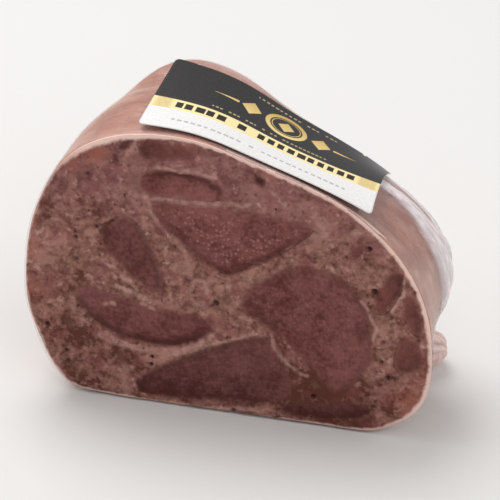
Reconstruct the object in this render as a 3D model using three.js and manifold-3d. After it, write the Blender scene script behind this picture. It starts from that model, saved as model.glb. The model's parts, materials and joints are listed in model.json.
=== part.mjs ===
import * as THREE from 'three';
import { mergeVertices } from 'three/addons/utils/BufferGeometryUtils.js';
import Module from 'manifold-3d';

// Cut end piece of a large cooked pork sausage. Pieces of tongue and lean meat run through its
// ground meat and show at the cut. A clear film goes round its sides and back and ends in a
// welded seam, and a card label lies across the top.
// Millimetres. +X runs to the right along the cut face, +Y from the face to the rounded end, +Z up.
// The origin is on the flat foot, half way between the face and the rounded end.

// Driving dimensions
const LENGTH = 64.5;
const FACE_HEIGHT = 89;
const HALF_WIDTH = 60;
const FILM_THICKNESS = 0.5;
const FILM_GAP = 0.4;
const PIECE_GAP = 0.4;
const PIECE_RECESS = 0.5;
const PIECE_DOME = 0.3;
const LABEL_DEPTH = 38;
const LABEL_THICKNESS = 0.4;
const LABEL_GAP = 0.35;
const LABEL_FROM_FACE = 2.6;
const LABEL_LEFT = { near: -27.2, far: -25.7 };
const LABEL_RIGHT = { near: 39.8, far: 37.9 };
const LABEL_LIFT = { left: 2.4, right: 1.6 };
const SEAM_HEIGHT = 7;
const SEAM_RISE = 3;
const SEAM_WIDTH = 5;
const SEAM_THICKNESS = 0.8;
const SEAM_TAPER = 5;
const SEAM_END = 0.1;
const SEAM_HALF_ANGLE = THREE.MathUtils.degToRad(68);
const SEAM_CENTRE = { x: 2, depth: 24 };
const EAR = { x: 47, depth: 42, z: 6, halfX: 11, halfDepth: 8, halfZ: 6.6 };

// How far the bodies that hollow the meat and the film pass out through the face
const HOLLOW_START = 3;

// A piece's inner end: its length in half breadths, and the angles of its rings; and how far
// the ring that starts a piece's domed front lies towards its middle
const PIECE_END = 1.6;
const PIECE_END_ANGLES = [35, 65].map(THREE.MathUtils.degToRad);
const PIECE_FRONT_RING = 0.35;

// How finely the curved surfaces are divided, and how often a search halves its range
const AROUND = 60;
const RINGS_A_SECTION = 3;
const PIECE_AROUND = { large: 22, small: 14 };
const LABEL_COLUMNS = 14;
const LABEL_ROWS = 5;
const LABEL_SAMPLES = 60;
const SEAM_STEPS = 22;
const HALVINGS = 36;

// The cut face's outline, as x and z from the middle of its foot, from the top going right
const OUTLINE = [
  [-14, 88.6], [7.9, 83.1], [35.5, 71.8], [52.5, 55.2], [59.9, 34.6], [58.2, 12.1], [46, 1.4],
  [24, 0], [-31, 0], [-47, 2.6], [-58.2, 23.1], [-60.1, 38.8], [-57.2, 59], [-48.2, 76.9],
  [-35.2, 85.8],
];

// Sections from the face to the rounded end: the share that is left of the face's width and
// height, how far the section moves right and up, how far its right side sinks, how far that side
// leans out at its top and in at its foot, and how far its foot is drawn in to the gathered film
const SECTIONS = [
  { depth: 0, wide: 1, high: 1, right: 0, up: 0, sink: 0, lean: 0, tuck: 0 },
  { depth: 18, wide: 0.97, high: 0.966, right: 1, up: 0, sink: 0.12, lean: 0.27, tuck: 0.11 },
  { depth: 34, wide: 0.92, high: 0.952, right: 2.6, up: 0, sink: 0.15, lean: 0.41, tuck: 0.19 },
  { depth: 46, wide: 0.75, high: 0.915, right: 1.4, up: 2.5, sink: 0.3, lean: 0.47, tuck: 0.18 },
  { depth: 56, wide: 0.52, high: 0.75, right: -2.2, up: 10, sink: 0.43, lean: 0.37, tuck: 0.15 },
  { depth: 62, wide: 0.34, high: 0.5, right: -4, up: 23, sink: 0.46, lean: 0.28, tuck: 0.13 },
  { depth: LENGTH, wide: 0, high: 0, right: -6, up: 43, sink: 0, lean: 0, tuck: 0 },
];
const LEAN_PIVOT = 38;
const TUCK_HEIGHT = 42;

// Pieces that show at the cut. Each outline is an oval about x and z: half its length and
// breadth, its turn in degrees, how far its ends bend up, how even that bend is, from 2 down to
// 1 for a corner, how much broader one end is, and how square it is. Its reach is how deep it
// runs into the meat.
const TONGUE = {
  tongue_cap: {
    x: -14, z: 72.4, long: 11.8, broad: 4.2, turn: 0,
    bend: -1.1, even: 2, taper: -0.06, square: 2.7, reach: 34,
  },
  tongue_wedge: {
    x: 0.2, z: 60.4, long: 23.9, broad: 10.3, turn: -1.2,
    bend: 8.4, even: 1.15, taper: 0, square: 1.3, reach: 46,
  },
  tongue_plum: {
    x: -27, z: 48, long: 12.5, broad: 5.6, turn: -55,
    bend: 0, even: 2, taper: -0.35, square: 3, reach: 40,
  },
  tongue_crescent: {
    x: -24.7, z: 28.3, long: 20, broad: 6.2, turn: -8.6,
    bend: 3.9, even: 2, taper: 0, square: 2.4, reach: 44,
  },
  tongue_bottom: {
    x: -4.1, z: 11.8, long: 23, broad: 8.4, turn: 16.7,
    bend: -0.6, even: 2, taper: 0.56, square: 4, reach: 42,
  },
  tongue_broad: {
    x: 25.7, z: 33, long: 20, broad: 13.6, turn: -46,
    bend: -7.4, even: 2, taper: -0.16, square: 2.9, reach: 48,
  },
  tongue_heel: {
    x: 30.2, z: 6.2, long: 13, broad: 2.6, turn: 9,
    bend: 1, even: 2, taper: 0.2, square: 2.8, reach: 26,
  },
};
const LEAN = {
  lean_crown: {
    x: -18.3, z: 82.8, long: 8.4, broad: 2.8, turn: 3,
    bend: -0.6, even: 2, taper: -0.36, square: 2.1, reach: 18,
  },
  lean_rim_upper: {
    x: 53.6, z: 40.8, long: 6.6, broad: 2.4, turn: -77,
    bend: 0.6, even: 2, taper: -0.14, square: 1.8, reach: 20,
  },
  lean_rim_middle: {
    x: 46.4, z: 47, long: 7.4, broad: 2.7, turn: 69,
    bend: 0.3, even: 2, taper: 0.08, square: 2.7, reach: 22,
  },
  lean_rim_lower: {
    x: 52.4, z: 27.6, long: 5.9, broad: 3.8, turn: 82,
    bend: 1, even: 2, taper: -0.07, square: 2, reach: 22,
  },
};

// Colours, roughness and metalness
const FINISHES = {
  meat: { color: 0x7d5a52, roughness: 0.55, metalness: 0 },
  tongue: { color: 0x63393a, roughness: 0.45, metalness: 0 },
  lean: { color: 0x7a4640, roughness: 0.5, metalness: 0 },
  film: { color: 0xe6dcdc, roughness: 0.15, metalness: 0, transparent: true, opacity: 0.3 },
  label: { color: 0x41403f, roughness: 0.4, metalness: 0 },
};

const wasm = await Module();
wasm.setup();

const outlineCurve = new THREE.CatmullRomCurve3(
  OUTLINE.map(([x, z]) => new THREE.Vector3(x, 0, z)), true);
const facePoints = outlineCurve.getSpacedPoints(AROUND).slice(0, AROUND);

const FIELDS = ['depth', 'wide', 'high', 'right', 'up', 'sink', 'lean', 'tuck'];
const sectionCurve = new THREE.CubicInterpolant(
  SECTIONS.map((_, index) => index),
  SECTIONS.flatMap((section) => FIELDS.map((field) => section[field])),
  FIELDS.length,
  new Float64Array(FIELDS.length));

// A section between two of the listed ones, by its place in the list
function sectionAt(place) {
  const values = sectionCurve.evaluate(place);
  return Object.fromEntries(FIELDS.map((field, index) => [field, values[index]]));
}

// The place in the list of sections that lies a given depth behind the face
function placeAt(depth) {
  let low = 0;
  let high = SECTIONS.length - 1;
  for (let halving = 0; halving < HALVINGS; halving++) {
    const middle = (low + high) / 2;
    if (sectionAt(middle).depth < depth) {
      low = middle;
    } else {
      high = middle;
    }
  }
  return (low + high) / 2;
}

// A point of the face carried back into a section
function carry(section, x, z) {
  const rightward = Math.max(0, x);
  const sunk = section.sink * section.wide * x * z / FACE_HEIGHT;
  const leaning = section.lean * (rightward / HALF_WIDTH) ** 2 * (z - LEAN_PIVOT);
  const tucked = section.tuck * rightward * Math.max(0, 1 - z / TUCK_HEIGHT) ** 2;
  return new THREE.Vector3(
    section.right + section.wide * (x + leaning - tucked),
    section.depth - LENGTH / 2,
    Math.max(0, section.up + section.high * z - sunk));
}

function ringAt(place) {
  const section = sectionAt(place);
  return facePoints.map((point) => carry(section, point.x, point.z));
}

// The outer surface as rings from the face to the rounded end, which closes on one point
function outerRings() {
  const last = (SECTIONS.length - 1) * RINGS_A_SECTION;
  return Array.from({ length: last }, (_, ring) => ringAt(ring / RINGS_A_SECTION));
}

const roundedEnd = carry(sectionAt(SECTIONS.length - 1), 0, 0);

// The same rings moved inwards along the surface's normal; the face's ring stays in the face
function sunkRings(rings, amount) {
  return rings.map((ring, row) => ring.map((point, column) => {
    const along = new THREE.Vector3().subVectors(
      ring[(column + 1) % ring.length], ring[(column + ring.length - 1) % ring.length]);
    const next = rings[Math.min(row + 1, rings.length - 1)][column];
    const before = rings[Math.max(row - 1, 0)][column];
    const back = new THREE.Vector3().subVectors(next, before);
    const normal = new THREE.Vector3().crossVectors(along, back);
    if (row === 0) {
      normal.y = 0;
    }
    const moved = point.clone().addScaledVector(normal.normalize(), -amount);
    moved.z = Math.max(moved.z, amount);
    return moved;
  }));
}

// A closed body from rings of points, with each end closed by a fan on its own point
function closedBody(rings, firstPoint, lastPoint) {
  const count = rings[0].length;
  const points = [...rings.flat(), firstPoint, lastPoint];
  const first = points.length - 2;
  const last = points.length - 1;
  const index = [];
  for (let column = 0; column < count; column++) {
    const beside = (column + 1) % count;
    index.push(first, column, beside);
    for (let row = 0; row + 1 < rings.length; row++) {
      const a = row * count;
      const b = a + count;
      index.push(a + column, b + column, b + beside);
      index.push(a + column, b + beside, a + beside);
    }
    const end = (rings.length - 1) * count;
    index.push(last, end + beside, end + column);
  }
  const geometry = new THREE.BufferGeometry().setFromPoints(points);
  geometry.setIndex(volume(points, index) < 0 ? index.reverse() : index);
  return geometry;
}

function volume(points, index) {
  let sum = 0;
  for (let i = 0; i < index.length; i += 3) {
    const [a, b, c] = [points[index[i]], points[index[i + 1]], points[index[i + 2]]];
    sum += a.dot(new THREE.Vector3().crossVectors(b, c)) / 6;
  }
  return sum;
}

function middleOf(ring) {
  const sum = new THREE.Vector3();
  ring.forEach((point) => sum.add(point));
  return sum.divideScalar(ring.length);
}

function toSolid(geometry) {
  const bare = geometry.clone();
  bare.deleteAttribute('normal');
  bare.deleteAttribute('uv');
  const merged = mergeVertices(bare, 1e-4);
  return new wasm.Manifold(new wasm.Mesh({
    numProp: 3,
    vertProperties: new Float32Array(merged.attributes.position.array),
    triVerts: new Uint32Array(merged.index.array),
  }));
}

function toGeometry(solid) {
  const mesh = solid.getMesh();
  const geometry = new THREE.BufferGeometry();
  geometry.setAttribute('position', new THREE.BufferAttribute(mesh.vertProperties, 3));
  geometry.setIndex(new THREE.BufferAttribute(mesh.triVerts, 1));
  return geometry;
}

// A piece's outline on the face, pushed outwards by a margin
function pieceOutline(piece, count, margin) {
  const turn = THREE.MathUtils.degToRad(piece.turn);
  const power = 2 / piece.square;
  const points = Array.from({ length: count }, (_, step) => {
    const angle = 2 * Math.PI * step / count;
    const cos = Math.sign(Math.cos(angle)) * Math.abs(Math.cos(angle)) ** power;
    const sin = Math.sign(Math.sin(angle)) * Math.abs(Math.sin(angle)) ** power;
    const along = piece.long * cos;
    const across = piece.broad * sin * (1 + piece.taper * cos)
      + piece.bend * (Math.abs(cos) ** piece.even - 0.5);
    return new THREE.Vector2(along, across).rotateAround(new THREE.Vector2(), turn);
  });
  return points.map((point, step) => {
    const side = points[(step + 1) % count].clone().sub(points[(step + count - 1) % count]);
    const out = new THREE.Vector2(side.y, -side.x).normalize();
    return point.clone().addScaledVector(out, margin).add(new THREE.Vector2(piece.x, piece.z));
  });
}

// A piece's body runs back from the face and has a rounded inner end. A margin makes the larger
// body that hollows the meat for it, which also passes out through the face.
function pieceBody(piece, count, margin) {
  const endLength = Math.min(piece.broad * PIECE_END, piece.reach / 2);
  const straight = piece.reach - endLength;
  const middle = new THREE.Vector2(piece.x, piece.z);
  const levels = [
    ...[PIECE_RECESS, straight / 2, straight].map((depth) => ({ depth, angle: 0 })),
    ...PIECE_END_ANGLES.map((angle) => ({ depth: straight + endLength * Math.sin(angle), angle })),
  ];
  const rings = levels.map(({ depth, angle }) => {
    const share = Math.cos(angle);
    const section = sectionAt(placeAt(depth + margin * Math.sin(angle)));
    return pieceOutline(piece, count, margin).map((point) => {
      const shrunk = point.sub(middle).multiplyScalar(share).add(middle);
      return carry(section, shrunk.x, shrunk.y);
    });
  });
  const start = margin > 0 ? -HOLLOW_START : PIECE_RECESS - PIECE_DOME;
  const level = (ring) => ring.map((point) => point.clone().setY(start - LENGTH / 2));
  const centre = middleOf(rings[0]);
  const face = level(rings[0].map((point) => point.clone().lerp(centre, PIECE_FRONT_RING)));
  const mouth = margin > 0 ? [level(rings[0])] : [];
  const inner = sectionAt(placeAt(piece.reach + margin));
  const end = carry(inner, piece.x, piece.z);
  return closedBody([face, ...mouth, ...rings], middleOf(face), end);
}

// True where a point, given by x, its depth behind the face and z, is inside the outer surface
function insideOuter(x, depth, z) {
  const ring = ringAt(placeAt(depth));
  let inside = false;
  ring.forEach((a, column) => {
    const b = ring[(column + 1) % ring.length];
    if ((a.z > z) !== (b.z > z) && x < (b.x - a.x) * (z - a.z) / (b.z - a.z) + a.x) {
      inside = !inside;
    }
  });
  return inside;
}

// How far the outer surface is from the seam's centre line, at an angle from straight back
function seamRadius(angle, z) {
  let low = 0;
  let high = LENGTH;
  for (let halving = 0; halving < HALVINGS; halving++) {
    const middle = (low + high) / 2;
    const x = SEAM_CENTRE.x + middle * Math.sin(angle);
    const depth = SEAM_CENTRE.depth + middle * Math.cos(angle);
    if (depth < LENGTH && insideOuter(x, depth, z)) {
      low = middle;
    } else {
      high = middle;
    }
  }
  return (low + high) / 2;
}

// The welded seam stands out of the film's back like a narrow fin and dies out on the left
function seamBody() {
  const rings = Array.from({ length: SEAM_STEPS + 1 }, (_, step) => {
    const share = step / SEAM_STEPS;
    const angle = SEAM_HALF_ANGLE * (1 - 2 * share);
    const z = SEAM_HEIGHT + SEAM_RISE * Math.sin(Math.PI * share);
    const radius = seamRadius(angle, z);
    const corner = (out, up) => new THREE.Vector3(
      SEAM_CENTRE.x + (radius + out) * Math.sin(angle),
      SEAM_CENTRE.depth + (radius + out) * Math.cos(angle) - LENGTH / 2,
      z + up);
    const half = SEAM_THICKNESS / 2;
    const root = -2 * FILM_THICKNESS;
    const edge = SEAM_WIDTH * Math.min(1, SEAM_TAPER * (1 - share) + SEAM_END);
    return [corner(root, -half), corner(edge, -half), corner(edge, half), corner(root, half)];
  });
  return closedBody(rings, middleOf(rings[0]), middleOf(rings[rings.length - 1]));
}

// The seam's end is gathered into a lobe that lies on the floor
function earBody() {
  const geometry = new THREE.SphereGeometry(1, 16, 10);
  geometry.scale(EAR.halfX, EAR.halfDepth, EAR.halfZ);
  geometry.translate(EAR.x, EAR.depth - LENGTH / 2, EAR.z);
  const position = geometry.attributes.position;
  for (let i = 0; i < position.count; i++) {
    position.setZ(i, Math.max(0, position.getZ(i)));
  }
  return geometry;
}

function filmBody(rings) {
  const inner = sunkRings(rings, FILM_THICKNESS);
  const mouth = inner[0].map((point) => point.clone().setY(point.y - HOLLOW_START));
  const innerEnd = roundedEnd.clone().setY(roundedEnd.y - FILM_THICKNESS);
  const outside = toSolid(closedBody(rings, middleOf(rings[0]), roundedEnd));
  const inside = toSolid(closedBody([mouth, ...inner], middleOf(mouth), innerEnd));
  return toGeometry(outside.add(toSolid(seamBody())).add(toSolid(earBody())).subtract(inside));
}

function meatBody(rings, hollows) {
  const amount = FILM_THICKNESS + FILM_GAP;
  const sunk = sunkRings(rings, amount);
  const end = roundedEnd.clone().setY(roundedEnd.y - amount);
  const whole = toSolid(closedBody(sunk, middleOf(sunk[0]), end));
  return toGeometry(hollows.reduce((solid, hollow) => solid.subtract(toSolid(hollow)), whole));
}

// The height of the outer surface's upper side
function topAt(ring, x) {
  const heights = ring.flatMap((a, column) => {
    const b = ring[(column + 1) % ring.length];
    const crosses = (a.x > x) !== (b.x > x);
    return crosses ? [a.z + (b.z - a.z) * (x - a.x) / (b.x - a.x)] : [];
  });
  return Math.max(...heights);
}

// One row of the label, at even steps over the top at one depth, with its ends lifted a little
function labelRow(share) {
  const depth = LABEL_FROM_FACE + LABEL_DEPTH * share;
  const ring = ringAt(placeAt(depth));
  const left = THREE.MathUtils.lerp(LABEL_LEFT.near, LABEL_LEFT.far, share);
  const right = THREE.MathUtils.lerp(LABEL_RIGHT.near, LABEL_RIGHT.far, share);
  const line = Array.from({ length: LABEL_SAMPLES + 1 }, (_, step) => {
    const x = THREE.MathUtils.lerp(left, right, step / LABEL_SAMPLES);
    return new THREE.Vector3(x, depth - LENGTH / 2, topAt(ring, x));
  });
  const top = new THREE.CatmullRomCurve3(line);
  return top.getSpacedPoints(LABEL_COLUMNS).map((foot, column) => {
    const side = 2 * column / LABEL_COLUMNS - 1;
    foot.z += (side < 0 ? LABEL_LIFT.left : LABEL_LIFT.right) * side ** 4;
    const fall = topAt(ring, foot.x - 1) - topAt(ring, foot.x + 1);
    return { foot, normal: new THREE.Vector3(fall, 0, 2).normalize() };
  });
}

function labelBody() {
  const rings = Array.from({ length: LABEL_ROWS + 1 }, (_, line) => {
    const row = labelRow(line / LABEL_ROWS);
    const side = (away) => row.map(({ foot, normal }) => foot.clone().addScaledVector(normal, away));
    return [...side(LABEL_GAP + LABEL_THICKNESS), ...side(LABEL_GAP).reverse()];
  });
  return sheetBody(rings);
}

// A closed sheet from rings whose first half is the upper side and second half the lower side
function sheetBody(rings) {
  const count = rings[0].length;
  const points = rings.flat();
  const index = [];
  for (let column = 0; column < count; column++) {
    const beside = (column + 1) % count;
    for (let row = 0; row + 1 < rings.length; row++) {
      const a = row * count;
      const b = a + count;
      index.push(a + column, b + column, b + beside);
      index.push(a + column, b + beside, a + beside);
    }
  }
  const end = (rings.length - 1) * count;
  for (let column = 0; column + 1 < count / 2; column++) {
    const [a, b, c, d] = [column, column + 1, count - 2 - column, count - 1 - column];
    index.push(a, b, c, a, c, d);
    index.push(end + c, end + b, end + a, end + d, end + c, end + a);
  }
  const geometry = new THREE.BufferGeometry().setFromPoints(points);
  geometry.setIndex(volume(points, index) < 0 ? index.reverse() : index);
  return geometry;
}

function named(name, geometry, finish) {
  const mesh = new THREE.Mesh(geometry, new THREE.MeshStandardMaterial(FINISHES[finish]));
  mesh.name = name;
  return mesh;
}

const sausage = new THREE.Group();
const rings = outerRings();
const hollows = [];
for (const [pieces, finish, count] of [
  [TONGUE, 'tongue', PIECE_AROUND.large],
  [LEAN, 'lean', PIECE_AROUND.small],
]) {
  for (const [name, piece] of Object.entries(pieces)) {
    sausage.add(named(name, pieceBody(piece, count, 0), finish));
    hollows.push(pieceBody(piece, count, PIECE_GAP));
  }
}
sausage.add(named('ground_meat', meatBody(rings, hollows), 'meat'));
sausage.add(named('film_wrap', filmBody(rings), 'film'));
sausage.add(named('label', labelBody(), 'label'));

export default sausage;
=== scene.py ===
import json
import math
from collections import namedtuple
from functools import cache, reduce

import bmesh
import bpy
import numpy as np
from bpy.props import FloatProperty, FloatVectorProperty, PointerProperty
from bpy.types import Operator, Panel, PropertyGroup
from mathutils import Matrix, Vector, noise

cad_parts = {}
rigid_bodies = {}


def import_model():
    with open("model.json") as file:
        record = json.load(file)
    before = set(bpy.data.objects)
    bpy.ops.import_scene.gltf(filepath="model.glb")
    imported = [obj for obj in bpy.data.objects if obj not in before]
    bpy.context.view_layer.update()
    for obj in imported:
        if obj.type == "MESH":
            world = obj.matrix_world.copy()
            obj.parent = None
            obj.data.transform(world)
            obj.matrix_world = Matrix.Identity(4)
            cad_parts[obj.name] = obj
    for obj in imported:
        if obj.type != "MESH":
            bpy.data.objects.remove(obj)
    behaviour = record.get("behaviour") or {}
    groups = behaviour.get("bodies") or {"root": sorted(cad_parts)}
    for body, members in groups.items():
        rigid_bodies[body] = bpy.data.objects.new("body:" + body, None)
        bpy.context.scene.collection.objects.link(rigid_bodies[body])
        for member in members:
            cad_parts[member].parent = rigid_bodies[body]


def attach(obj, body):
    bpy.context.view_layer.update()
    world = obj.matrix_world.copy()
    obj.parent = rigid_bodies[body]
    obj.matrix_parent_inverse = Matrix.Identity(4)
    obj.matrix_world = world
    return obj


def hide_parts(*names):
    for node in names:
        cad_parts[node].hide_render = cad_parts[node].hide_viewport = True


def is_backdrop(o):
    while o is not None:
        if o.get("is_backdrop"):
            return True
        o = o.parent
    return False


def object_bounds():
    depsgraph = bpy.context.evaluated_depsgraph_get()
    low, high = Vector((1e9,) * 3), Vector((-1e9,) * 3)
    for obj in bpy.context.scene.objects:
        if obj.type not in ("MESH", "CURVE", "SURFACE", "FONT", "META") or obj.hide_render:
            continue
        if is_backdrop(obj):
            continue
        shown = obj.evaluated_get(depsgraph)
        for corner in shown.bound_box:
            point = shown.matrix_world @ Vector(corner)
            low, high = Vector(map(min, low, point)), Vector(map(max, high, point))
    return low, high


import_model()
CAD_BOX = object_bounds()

bl_info = {
    "name": "Cooked pork sausage end piece",
    "version": (1, 0, 0),
    "blender": (4, 5, 0),
    "location": "View3D > Sidebar > Sausage",
    "description": "The cut end of a large pork sausage, with its tongue pieces, film and label",
    "category": "Object",
}

# Driving dimensions, in metres. +X runs to the right along the cut face, +Y from the face to the
# rounded end, +Z up, and the origin is on the flat foot, half way between face and end.
MM = 0.001
LENGTH = 64.5 * MM
FACE_HEIGHT = 89 * MM
HALF_WIDTH = 60 * MM
FACE = -LENGTH / 2
FACE_CENTRE = np.array([0, 42]) * MM

# The cut face's outline, as x and z in millimetres, from the top going right
OUTLINE = [
    (-14, 88.6), (7.9, 83.1), (35.5, 71.8), (52.5, 55.2), (59.9, 34.6), (58.2, 12.1), (46, 1.4),
    (24, 0), (-31, 0), (-47, 2.6), (-58.2, 23.1), (-60.1, 38.8), (-57.2, 59), (-48.2, 76.9),
    (-35.2, 85.8),
]

# Sections from the face to the rounded end: the depth in millimetres, the share that is left of
# the face's width and height, how many millimetres the section moves right and up, how far its
# right side sinks, how far that side leans out at its top and in at its foot, and how far its foot
# is drawn in to the gathered film
SECTIONS = np.array([
    (0, 1, 1, 0, 0, 0, 0, 0),
    (18, 0.97, 0.966, 1, 0, 0.12, 0.27, 0.11),
    (34, 0.92, 0.952, 2.6, 0, 0.15, 0.41, 0.19),
    (46, 0.75, 0.915, 1.4, 2.5, 0.3, 0.47, 0.18),
    (56, 0.52, 0.75, -2.2, 10, 0.43, 0.37, 0.15),
    (62, 0.34, 0.5, -4, 23, 0.46, 0.28, 0.13),
    (64.5, 0, 0, -6, 43, 0, 0, 0),
])
SECTIONS[:, [0, 3, 4]] *= MM
LAST_SECTION = len(SECTIONS) - 1
LEAN_PIVOT = 38 * MM
TUCK_HEIGHT = 42 * MM

# Pieces that show at the cut. Each outline is an oval about x and z: half its length and breadth,
# its turn in degrees, how far its ends bend up, how even that bend is, from 2 down to 1 for a
# corner, how much broader one end is, how square it is, and how deep it runs into the meat, all
# lengths in millimetres.
PIECE_FIELDS = ("x", "z", "long", "broad", "turn", "bend", "even", "taper", "square", "reach")
TONGUE = {
    "tongue_cap": (-14, 72.4, 11.8, 4.2, 0, -1.1, 2, -0.06, 2.7, 34),
    "tongue_wedge": (0.2, 60.4, 23.9, 10.3, -1.2, 8.4, 1.15, 0, 1.3, 46),
    "tongue_plum": (-27, 48, 12.5, 5.6, -55, 0, 2, -0.35, 3, 40),
    "tongue_crescent": (-24.7, 28.3, 20, 6.2, -8.6, 3.9, 2, 0, 2.4, 44),
    "tongue_bottom": (-4.1, 11.8, 23, 8.4, 16.7, -0.6, 2, 0.56, 4, 42),
    "tongue_broad": (25.7, 33, 20, 13.6, -46, -7.4, 2, -0.16, 2.9, 48),
    "tongue_heel": (30.2, 6.2, 13, 2.6, 9, 1, 2, 0.2, 2.8, 26),
}
LEAN = {
    "lean_crown": (-18.3, 82.8, 8.4, 2.8, 3, -0.6, 2, -0.36, 2.1, 18),
    "lean_rim_upper": (53.6, 40.8, 6.6, 2.4, -77, 0.6, 2, -0.14, 1.8, 20),
    "lean_rim_middle": (46.4, 47, 7.4, 2.7, 69, 0.3, 2, 0.08, 2.7, 22),
    "lean_rim_lower": (52.4, 27.6, 5.9, 3.8, 82, 1, 2, -0.07, 2, 22),
}

# How far the cut surface lies behind the plane of the cut, how near to that plane it may come,
# how deep the marks on it reach, and the radius of its rim
CUT_RECESS = 0.6 * MM
SHALLOWEST = 0.1 * MM
NEAR_FACE = 3 * MM
RIM_RADIUS = 0.25 * MM

# How long a piece's rounded inner end is, in half breadths, the depths of the first two rings
# behind its face, and how far inside its outline its grain is smoothest and its swell full
PIECE_END = 1.6
PIECE_MOUTH = (1.6 * MM, 2.6 * MM)
GRAIN_FROM_EDGE = 1.8 * MM
SWELL_FROM_EDGE = 3.4 * MM

# How many cells a piece's face has along each side, and how many points its outline is read at
TONGUE_CELLS = 64
LEAN_CELLS = 32
EDGE_POINTS = 160

# Edges that turn by more than this stay crisp
CRISP_ANGLE = math.radians(48)

# The casing's pale edge round the cut: the angle round the face's middle in degrees, from the
# right, how wide the edge is in millimetres, and how clearly it shows
RIM_LINE = [
    (0, 1.6, 0.9), (30, 1.3, 0.85), (60, 1.2, 0.8), (90, 1.1, 0.85), (110, 1.3, 0.9),
    (122, 2.2, 0.95), (137, 2.1, 0.95), (150, 0.8, 0.45), (180, 0.6, 0.3), (205, 0.8, 0.45),
    (235, 0.9, 0.5), (260, 0.7, 0.35), (290, 0.6, 0.3), (315, 1, 0.5), (330, 1.7, 0.8),
    (360, 1.6, 0.9),
]

# Small holes in the face: x, z, radius and depth in millimetres
PITS = [
    (8.4, 77.4, 1.9, 0.42), (-44.7, 51.4, 0.9, 0.8), (40.4, 60.6, 0.8, 1.2), (42.3, 47, 1.1, 1.1),
    (-21.9, 15.2, 0.7, 1.2), (-22.1, 12.7, 0.7, 1.2), (-24.4, 17.6, 0.6, 0.6), (47.2, 19.4, 0.8, 1.3),
    (25.9, 9.8, 0.9, 1.1), (43.5, 9.3, 0.7, 1), (-38.6, 55.7, 0.8, 0.8), (-30.4, 67.2, 0.6, 0.8),
    (-3.4, 36.1, 1.1, 0.9), (2.6, 1.2, 0.8, 0.8), (-41.2, 72.6, 0.8, 0.6), (-44.3, 44.4, 0.8, 0.6),
    (-53, 21.4, 0.9, 0.7), (-47.4, 13.4, 0.9, 0.7), (-46.8, 10, 0.9, 0.7), (53.8, 48.3, 1, 0.8),
    (45.2, 24.4, 0.8, 0.7), (48.6, 6.8, 0.9, 0.6), (-22.8, 30.6, 0.7, 0.5), (45.6, 31, 0.7, 0.6),
    (-33.4, 13.6, 0.7, 0.5), (33.8, 57, 0.7, 0.5), (25.6, 55.4, 0.6, 0.5),
]

# Small ones scattered over it: how many, and the lowest and highest x, z, radius and depth
SMALL_PITS = 40
SMALL_PIT_RANGE = [(-56, 56), (4, 84), (0.25, 0.42), (0.25, 0.6)]

# Broad tones of the cut: x, z and radius in millimetres, and how much lighter the meat is there
TONES = [
    (-53, 45, 8, 0.34), (-41, 13, 24, -0.27), (2, 41, 13, 0.04), (28, 5, 26, -0.5),
    (-42, 73, 9, -0.14), (-36, 62, 7, -0.15), (-14, 79, 9, 0.2), (14, 78, 14, 0.06),
    (27, 66, 9, 0.18), (46, 37, 6, 0.12), (54, 22, 10, -0.12), (-29, 7, 6, 0.2),
    (9, 35, 8, -0.2), (-10, 41, 8, 0.2), (37, 59, 6, -0.12), (-47, 49, 4, 0.2),
    (12, 71, 9, 0.16), (27, 14, 9, -0.45), (-20, 18, 9, 0.2), (-46, 30, 8, 0.1),
    (-34, 69, 8, 0.08), (-34, 48, 6, -0.25),
]

# Rusty patches near the rim: x, z and radius in millimetres, and how strong they are
RUST = [
    (-40.5, 81.5, 6, 0.9), (-46.5, 76, 3.6, 0.7), (54, 12, 6, 0.7), (48.6, 60.4, 3.4, 0.7),
    (-58, 56, 4, 0.5), (-58.5, 46, 5, 0.4), (-58, 32, 6, 0.45), (12, 80, 4, 0.4), (-12, 86, 5, 0.3),
    (31, 73, 5, 0.3), (57, 20, 5, 0.35), (-30, 87, 4, 0.4),
]

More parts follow.
